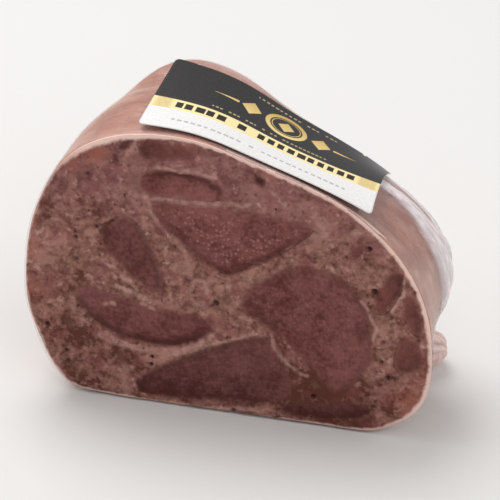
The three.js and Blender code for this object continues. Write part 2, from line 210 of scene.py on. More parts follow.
# Lines that cross the cut: half a line's width in millimetres, its strength, and its points'
# x and z in millimetres. The pale lines are mostly skins between the pieces, and four short ones on
# the crescent are painted highlights. The dark lines are partly painted shade, along the cap's top
# and right edge, the wedge's lower edge and the crescent's lower edge; the others are dark marks.
PALE_AND_GLINT_LINES = [
    (0.9, 0.6, (-21, 77.4), (-16.5, 77.2), (-10, 77.8), (-4, 76.4)),
    (1.0, 0.45, (-23.4, 66.6), (-22.4, 62), (-18.6, 57.4), (-13, 52)),
    (0.9, 0.75, (-36.8, 44.8), (-33, 42.4)),
    (1.1, 0.7, (-30.6, 40.6), (-26.6, 37.4)),
    (1.3, 0.8, (-32.4, 37.2), (-29.6, 35.8), (-26.4, 35.6)),
    # Painted highlights: short glints on the crescent
    (1.1, 0.6, (-25, 33.2), (-23.6, 32.6)),
    (1.0, 0.5, (-22.2, 32), (-21.6, 31.6)),
    (1.0, 0.5, (-35.8, 31), (-35.2, 31.2)),
    (1.0, 0.55, (-33.6, 31.5), (-33, 31.3)),
    (1.8, 0.6, (-37, 20.4), (-30, 18.2), (-22, 17.2), (-14, 18.3), (-8, 21.6), (-4, 25.6)),
    (1.2, 0.3, (-46, 31), (-44.5, 27), (-41, 23.6)),
    (0.8, 0.5, (-9, 19.8), (-3.8, 22.2), (2.4, 25.4), (8, 27.8), (12.6, 28.2)),
    (0.8, 0.5, (12.8, 28.4), (14.7, 23), (18.7, 18.8), (24, 15.8)),
    (0.8, 0.6, (38.6, 43.6), (41.6, 39), (43.2, 34.4), (42.6, 29.6)),
    (0.8, 0.85, (47.7, 41.5), (50.4, 47.2), (51, 54.5)),
    (1.2, 0.45, (-27, 67.4), (-18, 67.4), (-9, 67.4), (-1, 68.6), (6, 69.6)),
    (1.8, 0.4, (24.8, 69), (27.5, 63)),
    (0.9, 0.5, (-27.2, 84.8), (-30, 80)),
    (1.1, 0.55, (-5, 0.9), (2, 1.8), (12.6, 2.8)),
    (0.9, 0.5, (-22, 0.5), (-11, 0.5)),
    (1.0, 0.9, (59.6, 31.8), (56.6, 31.6)),
    (2.4, 0.3, (-30, 11), (-29.2, 5), (-28.6, 0.6)),
    (1.1, 0.5, (-10.8, 39.4), (-9.8, 42.4), (-6.6, 42.6), (-6, 40)),
    (1.5, 0.5, (-9, 34.6), (-7.8, 35.2)),
    (1.1, 0.6, (-28.6, 61.8), (-27.6, 61.8)),
    (1.3, 0.5, (-18.8, 53.4), (-18.2, 52.6)),
    (1.0, 0.5, (-51.3, 56), (-50.6, 56.2)),
    (1.1, 0.5, (-41, 39.4), (-40.2, 39.2)),
    (1.0, 0.6, (-56.6, 58), (-55.8, 57.8)),
    (1.2, 0.5, (45.4, 60.8), (46, 59.2)),
    (1.4, 0.35, (32.6, 53.6), (34.6, 53)),
]
DARK_AND_SHADE_LINES = [
    (1.7, 0.8, (-28.2, 86.6), (-29.8, 84.2), (-32.2, 81.2)),
    (2.1, 0.85, (7.4, 78.2), (9.4, 77)),
    (1.5, 0.7, (-33.4, 79), (-33, 78.4)),
    # Painted shade along the wedge's lower edge
    (1.0, 0.5, (-13, 53), (-7, 49.2), (-1.8, 46.4), (0.8, 46.4)),
    (2.0, 0.5, (-4, 48), (0, 47)),
    (1.3, 0.3, (4, 49.8), (14, 55.6), (22.5, 60.4), (23.2, 63)),
    (0.9, 0.95, (-36.2, 57.3), (-33.4, 58.8)),
    # Painted shade along the cap's top and right edge
    (1.1, 0.55, (-20, 75.8), (-12, 76.4), (-7, 75.4), (-3.6, 73.2), (-3.2, 69.8)),
    # Painted shade along the crescent's lower edge
    (1.3, 0.5, (-43.4, 29.2), (-41, 26.5), (-36, 23.6), (-30, 21.6), (-22, 20.6), (-15, 21), (-9, 23)),
    (1.5, 0.45, (-24.5, 86), (-25.6, 83), (-24, 80.4)),
    (1.2, 0.5, (50, 53), (49.6, 48.5), (47.4, 44)),
    (1.3, 0.6, (-52.3, 68), (-50.8, 70.6)),
    (1.6, 0.4, (21, 75), (28, 73.4)),
    (1.6, 0.25, (35, 69), (42, 66.4)),
    (1.5, 0.3, (-9, 84.6), (-3, 82.8)),
    (1.4, 0.4, (55.8, 46.5), (57, 38)),
    (3.2, 0.45, (-24, 4.8), (-10, 4.4), (14, 5.2), (30, 3.8), (42, 5.8)),
    (1.0, 0.6, (42.6, 46.6), (44.4, 44.8)),
    (1.4, 0.4, (38.4, 38), (38, 30)),
]

# The film's main fold, seen from the side: how far from the gathered end in millimetres, the angle
# from straight back that it lies at, and half its width, both in degrees
MAIN_FOLD = [(0, 106, 20), (20, 109, 24), (31, 110, 20), (42, 110, 10), (51, 107, 5), (60, 103, 2.6)]

# Where the film is gathered into a lobe on the floor, and half the lobe's size
GATHER = np.array([47, 42, 6]) * MM
GATHER_HALF = np.array([11, 8, 6.6]) * MM

# The welded seam behind: the point that it runs round, as x and depth, and how far to each side,
# its height at its ends and how far it rises between them, and its width and thickness. Its crimp
# and its wave each have a height and a length.
SEAM_CENTRE = np.array([2, 24]) * MM
SEAM_HALF_ANGLE = math.radians(68)
SEAM_HEIGHT = 7 * MM
SEAM_RISE = 3 * MM
SEAM_WIDTH = 4.6 * MM
SEAM_THICKNESS = 0.2 * MM
CRIMP = (0.16 * MM, 0.32 * MM)
WAVE = (0.5 * MM, 4 * MM)

# The label: its size, its distance from the face, and the x of its left and right ends along its
# near and its far edge
LABEL_DEPTH = 38 * MM
LABEL_WIDTH = 70 * MM
LABEL_FROM_FACE = 2.6 * MM
LABEL_LEFT = np.array([-27.2, -25.7]) * MM
LABEL_RIGHT = np.array([39.8, 37.9]) * MM

# How far the label's ends lift: for its near and far edges, at the left and at the right
LABEL_LIFT = np.array([(1.2, 1.9), (2.4, 0.2)]) * MM

# The camera stands where the photograph was taken from and looks at the middle of the object
CAMERA_PLACE = Vector((232, -1038, 647)) * MM
CAMERA_TARGET = Vector((3, -17.2, 46.6)) * MM
CAMERA_LENS = 304.2
CAMERA_ROLL = math.radians(1.5)


def linear(red, green, blue):
    """A colour given as 0 to 255 on the screen, as the linear numbers that shaders take."""
    def one(value):
        value /= 255
        return value / 12.92 if value <= 0.04045 else ((value + 0.055) / 1.055) ** 2.4
    return one(red), one(green), one(blue)


def length_setting(name, description, default):
    return FloatProperty(
        name=name, description=description, default=default, min=0, unit="LENGTH", precision=5)


def colour_setting(name, description, default):
    return FloatVectorProperty(
        name=name, description=description, default=linear(*default), size=3, min=0, max=1,
        subtype="COLOR")


class SAUSAGE_PG_form(PropertyGroup):
    """Sizes that a user would change"""

    meat_sink: length_setting(
        "Meat sink", "How far the casing lies inside the outer form", 0.55 * MM)
    film_sink: length_setting(
        "Film sink", "How far the tight film lies inside the outer form", 0.22 * MM)
    film_thickness: length_setting("Film thickness", "Thickness of the clear film", 0.08 * MM)
    fold_height: length_setting("Fold height", "How far the film's folds stand out", 1.1 * MM)
    grain: length_setting("Grain", "Height of the ground meat's coarse grain", 0.14 * MM)
    swell: length_setting("Swell", "How far the cut surface swells and sinks", 0.14 * MM)
    piece_gap: length_setting("Piece gap", "Gap between a piece and its hollow", 0.02 * MM)
    label_gap: length_setting("Label gap", "Gap between the outer form and the label", 0.35 * MM)
    label_thickness: length_setting("Label thickness", "Thickness of the card", 0.32 * MM)


class SAUSAGE_PG_colours(PropertyGroup):
    """Colours that a user would change"""

    meat_light: colour_setting("Light meat", "Pale grain of the ground meat", (164, 118, 107))
    meat_dark: colour_setting("Dark meat", "Dark grain of the ground meat", (89, 49, 40))
    fleck: colour_setting("Fleck", "Bits of fat", (198, 156, 144))
    # Also the colour of the painted highlights among the pale lines
    skin: colour_setting("Skin", "Pale skins between the pieces", (192, 150, 140))
    rim: colour_setting("Rim", "Cut edge of the casing", (244, 210, 198))
    casing: colour_setting("Casing", "Light parts of the casing along the side", (200, 144, 123))
    casing_dark: colour_setting("Dark casing", "Dark parts of the casing", (150, 92, 76))
    tongue_light: colour_setting("Light tongue", "Pale parts of a tongue piece", (136, 84, 81))
    tongue_dark: colour_setting("Dark tongue", "Dark parts of a tongue piece", (94, 48, 45))
    lean: colour_setting("Lean", "Lean meat near the rim", (130, 76, 70))
    # Also the painted highlight along the main fold
    film: colour_setting("Film haze", "Haze in the film's folds", (246, 236, 238))
    gathered: colour_setting("Gathered film", "Film at its gathered end", (224, 194, 186))
    label_dark: colour_setting("Label field", "The label's dark field", (46, 43, 44))
    label_gold: colour_setting("Label gold", "The label's band and ornament", (238, 218, 160))
    label_white: colour_setting("Label white", "The label's plain strip", (230, 228, 226))
    floor: colour_setting("Floor", "The plain floor", (222, 220, 218))


# Lines and surfaces of the form


def hermite(share, start, leave, end, arrive):
    """Values between two points, with the slopes that they are left and reached with."""
    return (start * (1 + 2 * share) * (1 - share) ** 2 + leave * share * (1 - share) ** 2
            + end * share ** 2 * (3 - 2 * share) - arrive * share ** 2 * (1 - share))


def smooth_loop(points, steps=16):
    """The smooth closed line through some points, with this many steps between two of them."""
    before, start, end, after = (np.roll(points, turn, axis=0) for turn in (1, 0, -1, -2))
    first, middle, last = (
        np.sqrt(np.linalg.norm(b - a, axis=1))[:, None]
        for a, b in ((before, start), (start, end), (end, after)))
    leave = (start - before) / first - (end - before) / (first + middle) + (end - start) / middle
    arrive = (end - start) / middle - (after - start) / (middle + last) + (after - end) / last
    share = np.linspace(0, 1, steps, endpoint=False)[None, :, None]
    line = hermite(
        share, start[:, None], (leave * middle)[:, None], end[:, None], (arrive * middle)[:, None])
    return line.reshape(-1, points.shape[1])


def from_segment(x, z, start, end):
    """How far points lie from the straight line between two points."""
    run, rise = end[0] - start[0], end[1] - start[1]
    along = (x - start[0]) * run + (z - start[1]) * rise
    share = np.clip(along / (run ** 2 + rise ** 2), 0, 1)
    return np.hypot(x - start[0] - share * run, z - start[1] - share * rise)


class Loop:
    """A closed line on the cut face, read by how far round it a point lies, from 0 to 1. Any
    columns after x and z are carried along."""

    def __init__(self, points):
        self.points = np.vstack([points, points[:1]])
        steps = np.linalg.norm(np.diff(self.points[:, :2], axis=0), axis=1)
        self.share = np.concatenate([[0], np.cumsum(steps)]) / steps.sum()

    def at(self, share):
        share = np.mod(share, 1)
        return [np.interp(share, self.share, column) for column in self.points.T]

    def even(self, count):
        return Loop(np.stack(self.at(np.arange(count) / count), axis=-1))

    def distance(self, x, z):
        """How far points lie outside the line, or, below zero, inside it."""
        nearest = np.full(len(x), np.inf)
        inside = np.zeros(len(x), bool)
        for start, end in zip(self.points[:-1, :2], self.points[1:, :2]):
            nearest = np.minimum(nearest, from_segment(x, z, start, end))
            run, rise = end - start
            crosses = (start[1] > z) != (end[1] > z)
            inside ^= crosses & (x < run * (z - start[1]) / (rise or 1) + start[0])
        return np.where(inside, -nearest, nearest)


# The outline is read the other way round, from the foot of its right side, so that the corners of
# a square blank fall on its four bends
FOOT_POINT = 6
RIM = Loop(smooth_loop(np.roll(np.array(OUTLINE) * MM, -FOOT_POINT - 1, axis=0)[::-1])).even(1440)
COARSE_RIM = RIM.even(240)

SECTION_SLOPES = np.zeros_like(SECTIONS)
SECTION_SLOPES[1:-1] = (SECTIONS[2:] - SECTIONS[:-2]) / 2


def section_at(place):
    """The values of a section at a place in the list, as one array for each value."""
    place = np.clip(np.asarray(place, float), 0, LAST_SECTION)
    row = np.minimum(place.astype(int), LAST_SECTION - 1)
    share = (place - row)[..., None]
    values = hermite(
        share, SECTIONS[row], SECTION_SLOPES[row], SECTIONS[row + 1], SECTION_SLOPES[row + 1])
    return np.moveaxis(values, -1, 0)


PLACES = np.linspace(0, LAST_SECTION, 2001)
PLACE_DEPTHS = section_at(PLACES)[0]


def place_at(depth):
    """The place in the list of sections that lies this deep behind the face."""
    return np.interp(depth, PLACE_DEPTHS, PLACES)


def carry(place, x, z):
    """Points of the face carried back to a place in the list of sections."""
    place, x, z = np.broadcast_arrays(place, x, z)
    depth, wide, high, right, up, sink, lean, tuck = section_at(place)
    rightward = np.maximum(x, 0)
    leaning = lean * (rightward / HALF_WIDTH) ** 2 * (z - LEAN_PIVOT)
    tucked = tuck * rightward * np.maximum(0, 1 - z / TUCK_HEIGHT) ** 2
    sunk = sink * wide * x * z / FACE_HEIGHT
    return np.stack([
        right + wide * (x + leaning - tucked), FACE + depth,
        np.maximum(0, up + high * z - sunk)], axis=-1)


def unit(vectors):
    return vectors / np.maximum(np.linalg.norm(vectors, axis=-1, keepdims=True), 1e-12)


def skin(place, share, sink):
    """Points of the outer surface at a place and a share of the way round, sunk along the normal,
    and that normal."""
    step = 2e-3
    place, share = np.broadcast_arrays(np.asarray(place, float), np.asarray(share, float))
    inner = np.clip(place, step, LAST_SECTION - 0.05)
    point = carry(place, *RIM.at(share))
    along = carry(inner, *RIM.at(share + step)) - carry(inner, *RIM.at(share - step))
    back = carry(inner + step, *RIM.at(share)) - carry(inner - step, *RIM.at(share))
    normal = np.cross(back, along)
    normal[place <= 0, 1] = 0
    normal = unit(normal)
    moved = point - normal * np.asarray(sink)[..., None]
    return moved, normal


def ease(value, low, high):
    """0 below low, 1 above high and smooth between them."""
    share = np.clip((value - low) / (high - low), 0, 1)
    return share * share * (3 - 2 * share)


def rough(points, size, seed, octaves=2):
    """Noise between about -1 and 1 at each point, with bumps of about this size."""
    shift = Vector((seed * 17.3, seed * 5.1, seed * 9.7))
    return np.array([
        noise.fractal(Vector(point) / size + shift, 1, 2, octaves) for point in points])


# Blanks and meshes


def pull_back(bm, border, rings):
    """Pulls an open border back ring by ring and closes it on one point. Each ring lies one unit
    further along Z, so that a vertex's Z is the number of its ring."""
    for ring in range(rings):
        made = bmesh.ops.extrude_edge_only(bm, edges=border)["geom"]
        border = [item for item in made if isinstance(item, bmesh.types.BMEdge)]
        corners = [item for item in made if isinstance(item, bmesh.types.BMVert)]
        bmesh.ops.translate(bm, verts=corners, vec=(0, 0, 1))
    bmesh.ops.pointmerge(bm, verts=corners, merge_co=(0, 0, rings))
    return bm


def grid(columns, rows, size=1):
    bm = bmesh.new()
    bmesh.ops.create_grid(bm, x_segments=columns, y_segments=rows, size=size)
    return bm


def closed_blank(cells, rings):
    """A square grid with its border pulled back and closed: the blank of a piece with a face."""
    bm = grid(cells, cells)
    return pull_back(bm, [edge for edge in bm.edges if edge.is_boundary], rings)


def open_blank(around, rings):
    """A circle pulled back and closed at its far end: the blank of the film."""
    bm = bmesh.new()
    bmesh.ops.create_circle(bm, cap_ends=False, radius=1, segments=around)
    return pull_back(bm, bm.edges[:], rings)


def round_square(a, b):
    """For points of a square blank, how far out they lie, from 0 to 1, and how far round."""
    out = np.maximum(abs(a), abs(b))
    safe = np.maximum(out, 1e-9)
    upright = abs(a) >= abs(b)
    side = np.where(upright, np.where(a > 0, 0, 2), np.where(b > 0, 1, 3))
    along = np.where(side == 0, b, np.where(side == 1, -a, np.where(side == 2, -b, a))) / safe
    return out, (side + (along + 1) / 2) / 4


def blank_coordinates(bm):
    return np.array([vert.co for vert in bm.verts]).T


def set_points(bm, points):
    for vert, point in zip(bm.verts, points):
        vert.co = point


def new_piece(bm, name, closed=True):
    """Makes the finished mesh and its object, at the origin, with faces that point outwards."""
    if closed:
        bmesh.ops.recalc_face_normals(bm, faces=bm.faces)
        if bm.calc_volume(signed=True) < 0:
            bmesh.ops.reverse_faces(bm, faces=bm.faces)
    mesh = bpy.data.meshes.new(name)
    bm.to_mesh(mesh)
    bm.free()
    mesh.shade_smooth()
    mesh.set_sharp_from_angle(angle=CRISP_ANGLE)
    piece = bpy.data.objects.new(name, mesh)
    bpy.context.scene.collection.objects.link(piece)
    return piece


def points_of(mesh):
    points = np.empty(len(mesh.vertices) * 3)
    mesh.vertices.foreach_get("co", points)
    return points.reshape(-1, 3)


def set_attributes(mesh, **values):
    for name, value in values.items():
        layer = mesh.attributes.new(name, "FLOAT", "POINT")
        layer.data.foreach_set("value", np.asarray(value, np.float32))


def thicken(piece, thickness, offset):
    """Gives a sheet its thickness, inwards for an offset of -1 and to both sides for 0."""
    wall = piece.modifiers.new("wall", "SOLIDIFY")
    wall.thickness = thickness
    wall.offset = offset
    return wall


def finish_piece(piece, slot, material, *nodes):
    piece.data.materials.clear()
    piece.data.materials.append(material)
    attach(piece, "root")
    if nodes:
        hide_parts(*nodes)


class Oval:
    """The outline of a piece that shows at the cut. Its own coordinates u and v run along and
    across it, from -1 to 1, and its edge is a square-cornered ring round them."""

    def __init__(self, values):
        for field, value in zip(PIECE_FIELDS, values):
            setattr(self, field, value)
        self.turn = math.radians(self.turn)
        angle = np.linspace(0, 2 * math.pi, 1600, endpoint=False)
        power = 2 / self.square
        u = np.sign(np.cos(angle)) * abs(np.cos(angle)) ** power
        v = np.sign(np.sin(angle)) * abs(np.sin(angle)) ** power
        self.edge = Loop(np.stack([*self.warp(u, v), u, v], axis=-1))

    def warp(self, u, v, grow=0.0):
        """x and z on the face, in metres, of points given by u and v."""
        along = (self.long * MM + grow) * u
        across = (self.broad * MM + grow) * v * (1 + self.taper * u)
        across = across + self.bend * MM * (abs(u) ** self.even - 0.5)
        cos, sin = math.cos(self.turn), math.sin(self.turn)
        return self.x * MM + along * cos - across * sin, self.z * MM + along * sin + across * cos

    def rings(self, grow, mouth):
        """Depth and share of the outline's size for each ring behind the face."""
        length = min(self.broad * PIECE_END, self.reach / 2) * MM
        straight = self.reach * MM - length
        for depth in mouth:
            yield depth, 1.0
        for share in (0.12, 0.35, 0.65, 1):
            yield straight * share, 1.0
        for angle in np.radians([18, 36, 54, 70, 82]):
            yield straight + (length + grow) * math.sin(angle), math.cos(angle)
        yield straight + length + grow, 0.0


def piece_body(oval, cells, grow, front, mouth):
    """A blank laid over an oval: a function of x and z shapes the front, and the rings behind it
    follow the bend of the whole sausage."""
    levels = list(oval.rings(grow, mouth))
    bm = closed_blank(cells, len(levels))
    a, b, ring = blank_coordinates(bm)
    out, share = round_square(a, b)
    _, _, edge_u, edge_v = oval.edge.at(share)
    depths = np.array([0] + [depth for depth, _ in levels])
    sizes = np.array([1] + [size for _, size in levels])
    row = np.rint(ring).astype(int)
    size = np.where(row == 0, out, sizes[row])
    u, v = edge_u * size, edge_v * size
    x, z = oval.warp(u, v, grow)
    points = carry(place_at(depths[row]), x, z)
    points[:, 1] = FACE + depths[row]
    at_front = row == 0
    points[at_front] = front(x[at_front], z[at_front])
    set_points(bm, points)
    return bm, u, v, share


def hollow_cutter(oval, cells, gap):
    """The closed body that hollows the meat for a piece. It passes out through the face."""
    start = -3 * MM

    def front(x, z):
        return np.stack([x, np.full_like(x, FACE + start), z], axis=-1)

    bm = piece_body(oval, cells, gap, front, [start / 2, 0.3 * MM])[0]
    return new_piece(bm, "cutter")


# Materials


# Colours of the fine detail, which stay as they are when a user changes the broad ones
TINTS = {name: linear(*colour) for name, colour in {
    "red meat": (126, 72, 72), "brown meat": (122, 90, 76), "cool meat": (138, 88, 94),
    "rust": (150, 88, 74), "dark bit": (72, 38, 30), "dark_line_and_shade": (66, 25, 22),
    "pepper": (44, 20, 16), "hole_shade": (36, 12, 10), "pale dot": (152, 104, 100),
    "fat": (228, 196, 180), "shaded card": (220, 218, 216), "grey print": (120, 120, 128),
    "ochre": (196, 170, 104), "pale gold": (246, 232, 186), "bar": (34, 30, 28),
    "shaded field": (34, 33, 35), "gilt": (232, 206, 142), "dark gilt": (196, 162, 92),
    "gold print": (206, 186, 140), "tick": (224, 224, 226), "dark card": (206, 204, 202),
    "light card": (238, 238, 240),
}.items()}


class Web:
    """Short calls for a node tree. Each makes its nodes and gives back what they put out."""

    def __init__(self, tree):
        self.tree = tree

    def node(self, kind, inputs=(), **settings):
        node = self.tree.nodes.new(kind)
        for name, value in settings.items():
            setattr(node, name, value)
        for key, value in dict(inputs).items():
            self.feed(node.inputs[key], value)
        return node

    def feed(self, socket, value):
        if isinstance(value, bpy.types.NodeSocket):
            self.tree.links.new(value, socket)
        elif socket.type == "RGBA" and len(value) == 3:
            socket.default_value = (*value, 1)
        else:
            socket.default_value = value

    def math(self, operation, first, second=0.0, third=0.0, clamp=False):
        inputs = {0: first, 1: second, 2: third}
        return self.node("ShaderNodeMath", inputs, operation=operation, use_clamp=clamp).outputs[0]

    def fold(self, operation, values):
        return reduce(lambda first, second: self.math(operation, first, second), values)

    def times(self, *values):
        return self.fold("MULTIPLY", values)

    def sum(self, *values):
        return self.fold("ADD", values)

    def highest(self, *values):
        return self.fold("MAXIMUM", values)

    def level(self, *values):
        """The sum of some values, kept between 0 and 1."""
        return self.math("ADD", self.sum(*values[:-1]), values[-1], clamp=True)

    def less(self, value, taken):
        return self.math("SUBTRACT", value, taken)

    def swing(self, value, amount):
        """A value between 0 and 1 turned into one between minus and plus half the amount."""
        return self.times(self.less(value, 0.5), amount)

    def blend(self, share, first, second):
        """A value that runs from the first to the second."""
        return self.sum(self.times(first, self.less(1.0, share)), self.times(second, share))

    def vector(self, operation, first, second):
        inputs = {0: first, 1: second}
        return self.node("ShaderNodeVectorMath", inputs, operation=operation).outputs[0]

    def scaled(self, vector, scale):
        inputs = {0: vector, "Scale": scale}
        return self.node("ShaderNodeVectorMath", inputs, operation="SCALE").outputs[0]

    def parts(self, vector):
        return self.node("ShaderNodeSeparateXYZ", {0: vector}).outputs

    def mix(self, share, first, second):
        inputs = {0: share, 6: first, 7: second}
        return self.node("ShaderNodeMix", inputs, data_type="RGBA").outputs[2]

    def step(self, value, low, high, to_low=0.0, to_high=1.0):
        inputs = {0: value, 1: low, 2: high, 3: to_low, 4: to_high}
        settings = {"interpolation_type": "SMOOTHSTEP"}
        return self.node("ShaderNodeMapRange", inputs, **settings).outputs[0]

    def attributes(self, *names):
        return [
            self.node("ShaderNodeAttribute", attribute_name=name).outputs["Fac"]
            for name in names]

    def position(self):
        return self.node("ShaderNodeTexCoord").outputs["Object"]

    def mapping(self, vector, scale=(1, 1, 1), location=(0, 0, 0)):
        inputs = {"Vector": vector, "Scale": scale, "Location": location}
        return self.node("ShaderNodeMapping", inputs).outputs[0]

    def noise(self, vector, size, detail=2.0, roughness=0.5, result="Fac"):
        """Noise from 0 to 1 with spots of about this size."""
        inputs = {"Vector": vector, "Scale": 1 / size, "Detail": detail, "Roughness": roughness}
        return self.node("ShaderNodeTexNoise", inputs).outputs[result]

    def placed(self, tree, **inputs):
        """What a node group puts out, given its inputs by name."""
        return self.node("ShaderNodeGroup", inputs, node_tree=tree).outputs

    def bump(self, strength, distance, height):
        inputs = {"Strength": strength, "Distance": distance, "Height": height}
        return self.node("ShaderNodeBump", inputs).outputs[0]

    def surface(self, colour, roughness, inputs=()):
        inputs = {"Base Color": colour, "Roughness": roughness, **dict(inputs)}
        return self.node("ShaderNodeBsdfPrincipled", inputs).outputs[0]


VECTOR, FLOAT, COLOUR = "NodeSocketVector", "NodeSocketFloat", "NodeSocketColor"


def new_group(name, inputs, outputs):
    """A shader node group with named sockets, and the web and input sockets to fill it with."""
    tree = bpy.data.node_groups.new(name, "ShaderNodeTree")
    for way, sockets in (("INPUT", inputs), ("OUTPUT", outputs)):
        for label, kind in sockets.items():
            tree.interface.new_socket(label, in_out=way, socket_type=kind)
    web = Web(tree)
    return tree, web, web.node("NodeGroupInput").outputs


def close_group(web, *values):
    web.node("NodeGroupOutput", dict(enumerate(values)))


@cache
def fleck_group():
    """Scattered round specks: the share of cells that hold one, and its radius in its cell."""
    tree, web, given = new_group(
        "Flecks", {"Position": VECTOR, "Size": FLOAT, "Share": FLOAT, "Radius": FLOAT},
        {"Mask": FLOAT})
    wobble = web.noise(given["Position"], 0.5 * MM, result="Color")
    moved = web.vector("ADD", given["Position"], web.scaled(wobble, 0.7 * MM))
    cells = web.node("ShaderNodeTexVoronoi", {
        "Vector": moved, "Scale": web.math("DIVIDE", 1.0, given["Size"])})
    draw = web.node("ShaderNodeSeparateColor", {0: cells.outputs["Color"]}).outputs
    radius = web.times(given["Radius"], web.math("MULTIPLY_ADD", draw[1], 0.8, 0.6))
    spot = web.step(cells.outputs["Distance"], web.times(radius, 0.5), radius, 1.0, 0.0)
    close_group(web, web.times(spot, web.math("LESS_THAN", draw[0], given["Share"])))
    return tree


def flecks(web, where, size, share, radius):
    return web.placed(fleck_group(), Position=where, Size=size, Share=share, Radius=radius)[0]


@cache
def ground_meat_group():
    """Ground meat: soft blotches and fine grain over broad tones, with rusty patches, bits of fat
    and dark bits. Puts out its colour and its height."""
    tree, web, given = new_group("Ground meat", {
        "Position": VECTOR, "Tone": FLOAT, "Rust": FLOAT, "Light": COLOUR, "Dark": COLOUR,
        "Fleck": COLOUR}, {"Color": COLOUR, "Height": FLOAT})
    where = given["Position"]
    bend = web.vector("SUBTRACT", web.noise(where, 7 * MM, 3.0, 0.6, "Color"), (0.5,) * 3)
    bent = web.vector("ADD", where, web.scaled(bend, 5 * MM))
    blotch = web.noise(bent, 6 * MM, 3.0)
    clots = web.noise(where, 2.6 * MM)
    grain = web.noise(where, 1 * MM)
    level = web.level(
        0.5, web.times(given["Tone"], 0.9), web.swing(blotch, 1.9), web.swing(clots, 1.7),
        web.swing(grain, 1.2))
    colour = web.mix(level, given["Dark"], given["Light"])
    hue = web.noise(bent, 8 * MM)
    height = web.parts(where)["Z"]
    fat = web.step(web.noise(bent, 2.2 * MM), 0.56, 0.8)
    dark = web.step(web.noise(where, 2 * MM), 0.22, 0.4, 1.0, 0.0)
    for share, tint in (
            (web.step(hue, 0.5, 0.66, 0.0, 0.5), TINTS["red meat"]),
            (web.step(hue, 0.3, 0.48, 0.35, 0.0), TINTS["brown meat"]),
            (web.step(height, 52 * MM, 76 * MM, 0.0, 0.35), TINTS["cool meat"]),
            (web.times(given["Rust"], web.step(clots, 0.3, 0.6, 0.6)), TINTS["rust"]),
            (web.times(fat, web.step(given["Tone"], -0.7, 0.1, 0.1, 0.65)), given["Fleck"]),
            (web.times(dark, 0.6), TINTS["dark bit"])):
        colour = web.mix(share, colour, tint)
    close_group(web, colour, web.sum(web.times(blotch, 0.6), web.times(grain, 0.5)))
    return tree


def new_material(name):
    material = bpy.data.materials.new(name)
    material.use_nodes = True
    material.node_tree.nodes.clear()
    return material, Web(material.node_tree)


def close_material(web, surface):
    web.node("ShaderNodeOutputMaterial", {"Surface": surface})


def ground_meat(web, where, colours):
    """The ground meat's colour and its height."""
    tone, rust = web.attributes("tone", "rust")
    return web.placed(
        ground_meat_group(), Position=where, Tone=tone, Rust=rust, Light=colours.meat_light[:],
        Dark=colours.meat_dark[:], Fleck=colours.fleck[:])


def crossed(web, where, colour, height, colours):
    """A colour and a height with the cut's pale skins and painted highlights, and its dark marks and
    painted shade along some pieces' edges, over them.
    """
    pale, dark = web.attributes("pale", "dark")
    broken = web.step(web.noise(where, 2.4 * MM, 3.0, 0.6), 0.34, 0.58, 0.3)
    pale = web.times(pale, broken)
    # Pale lines: skins, and some painted highlights
    colour = web.mix(pale, colour, colours.skin[:])
    # Dark lines: dark marks, and painted shade along some pieces' edges
    colour = web.mix(web.times(dark, broken), colour, TINTS["dark_line_and_shade"])
    return colour, web.math("MULTIPLY_ADD", pale, 0.35, height)


def ragged_edge(web, where):
    """How far a piece's edge strays from its outline, in millimetres."""
    return web.swing(web.noise(where, 3 * MM, 3.0, 0.55), 2.6)


def close_meat(web, colour, roughness, height, bump):
    """Ends a material with the moist surface that all the meat shares, its bumps this high."""
    close_material(web, web.surface(colour, roughness, {
        "Normal": web.bump(1.0, bump, height), "Subsurface Weight": 0.08,
        "Subsurface Radius": (1, 0.35, 0.2), "Subsurface Scale": 1 * MM,
        "Specular IOR Level": 0.14, "Specular Tint": (1, 0.75, 0.65, 1),
        "Coat Weight": 0.06, "Coat Roughness": 0.25}))


def casing(web, where, colours):
    """The casing's colour and height: tan, streaked round the body, with fat showing through, and
    painted shade that darkens it towards the right.
    """
    streaks = web.noise(web.mapping(where, scale=(0.5, 2.2, 0.5)), 4 * MM, 3.0, 0.6)
    patches = web.noise(where, 9 * MM, 4.0, 0.6)
    fine = web.noise(where, 1.6 * MM, 3.0, 0.6)
    level = web.level(
        0.5, web.swing(streaks, 0.8), web.swing(patches, 1.5), web.swing(fine, 0.9),
        # Painted shade: darker towards the right side
        web.step(web.parts(where)["X"], -10 * MM, 45 * MM, 0.05, -0.3))
    colour = web.mix(level, colours.casing_dark[:], colours.casing[:])
    fat = web.times(flecks(web, where, 6 * MM, 0.25, 0.4), 0.18)
    return web.mix(fat, colour, TINTS["fat"]), web.times(web.sum(streaks, patches), 0.4)


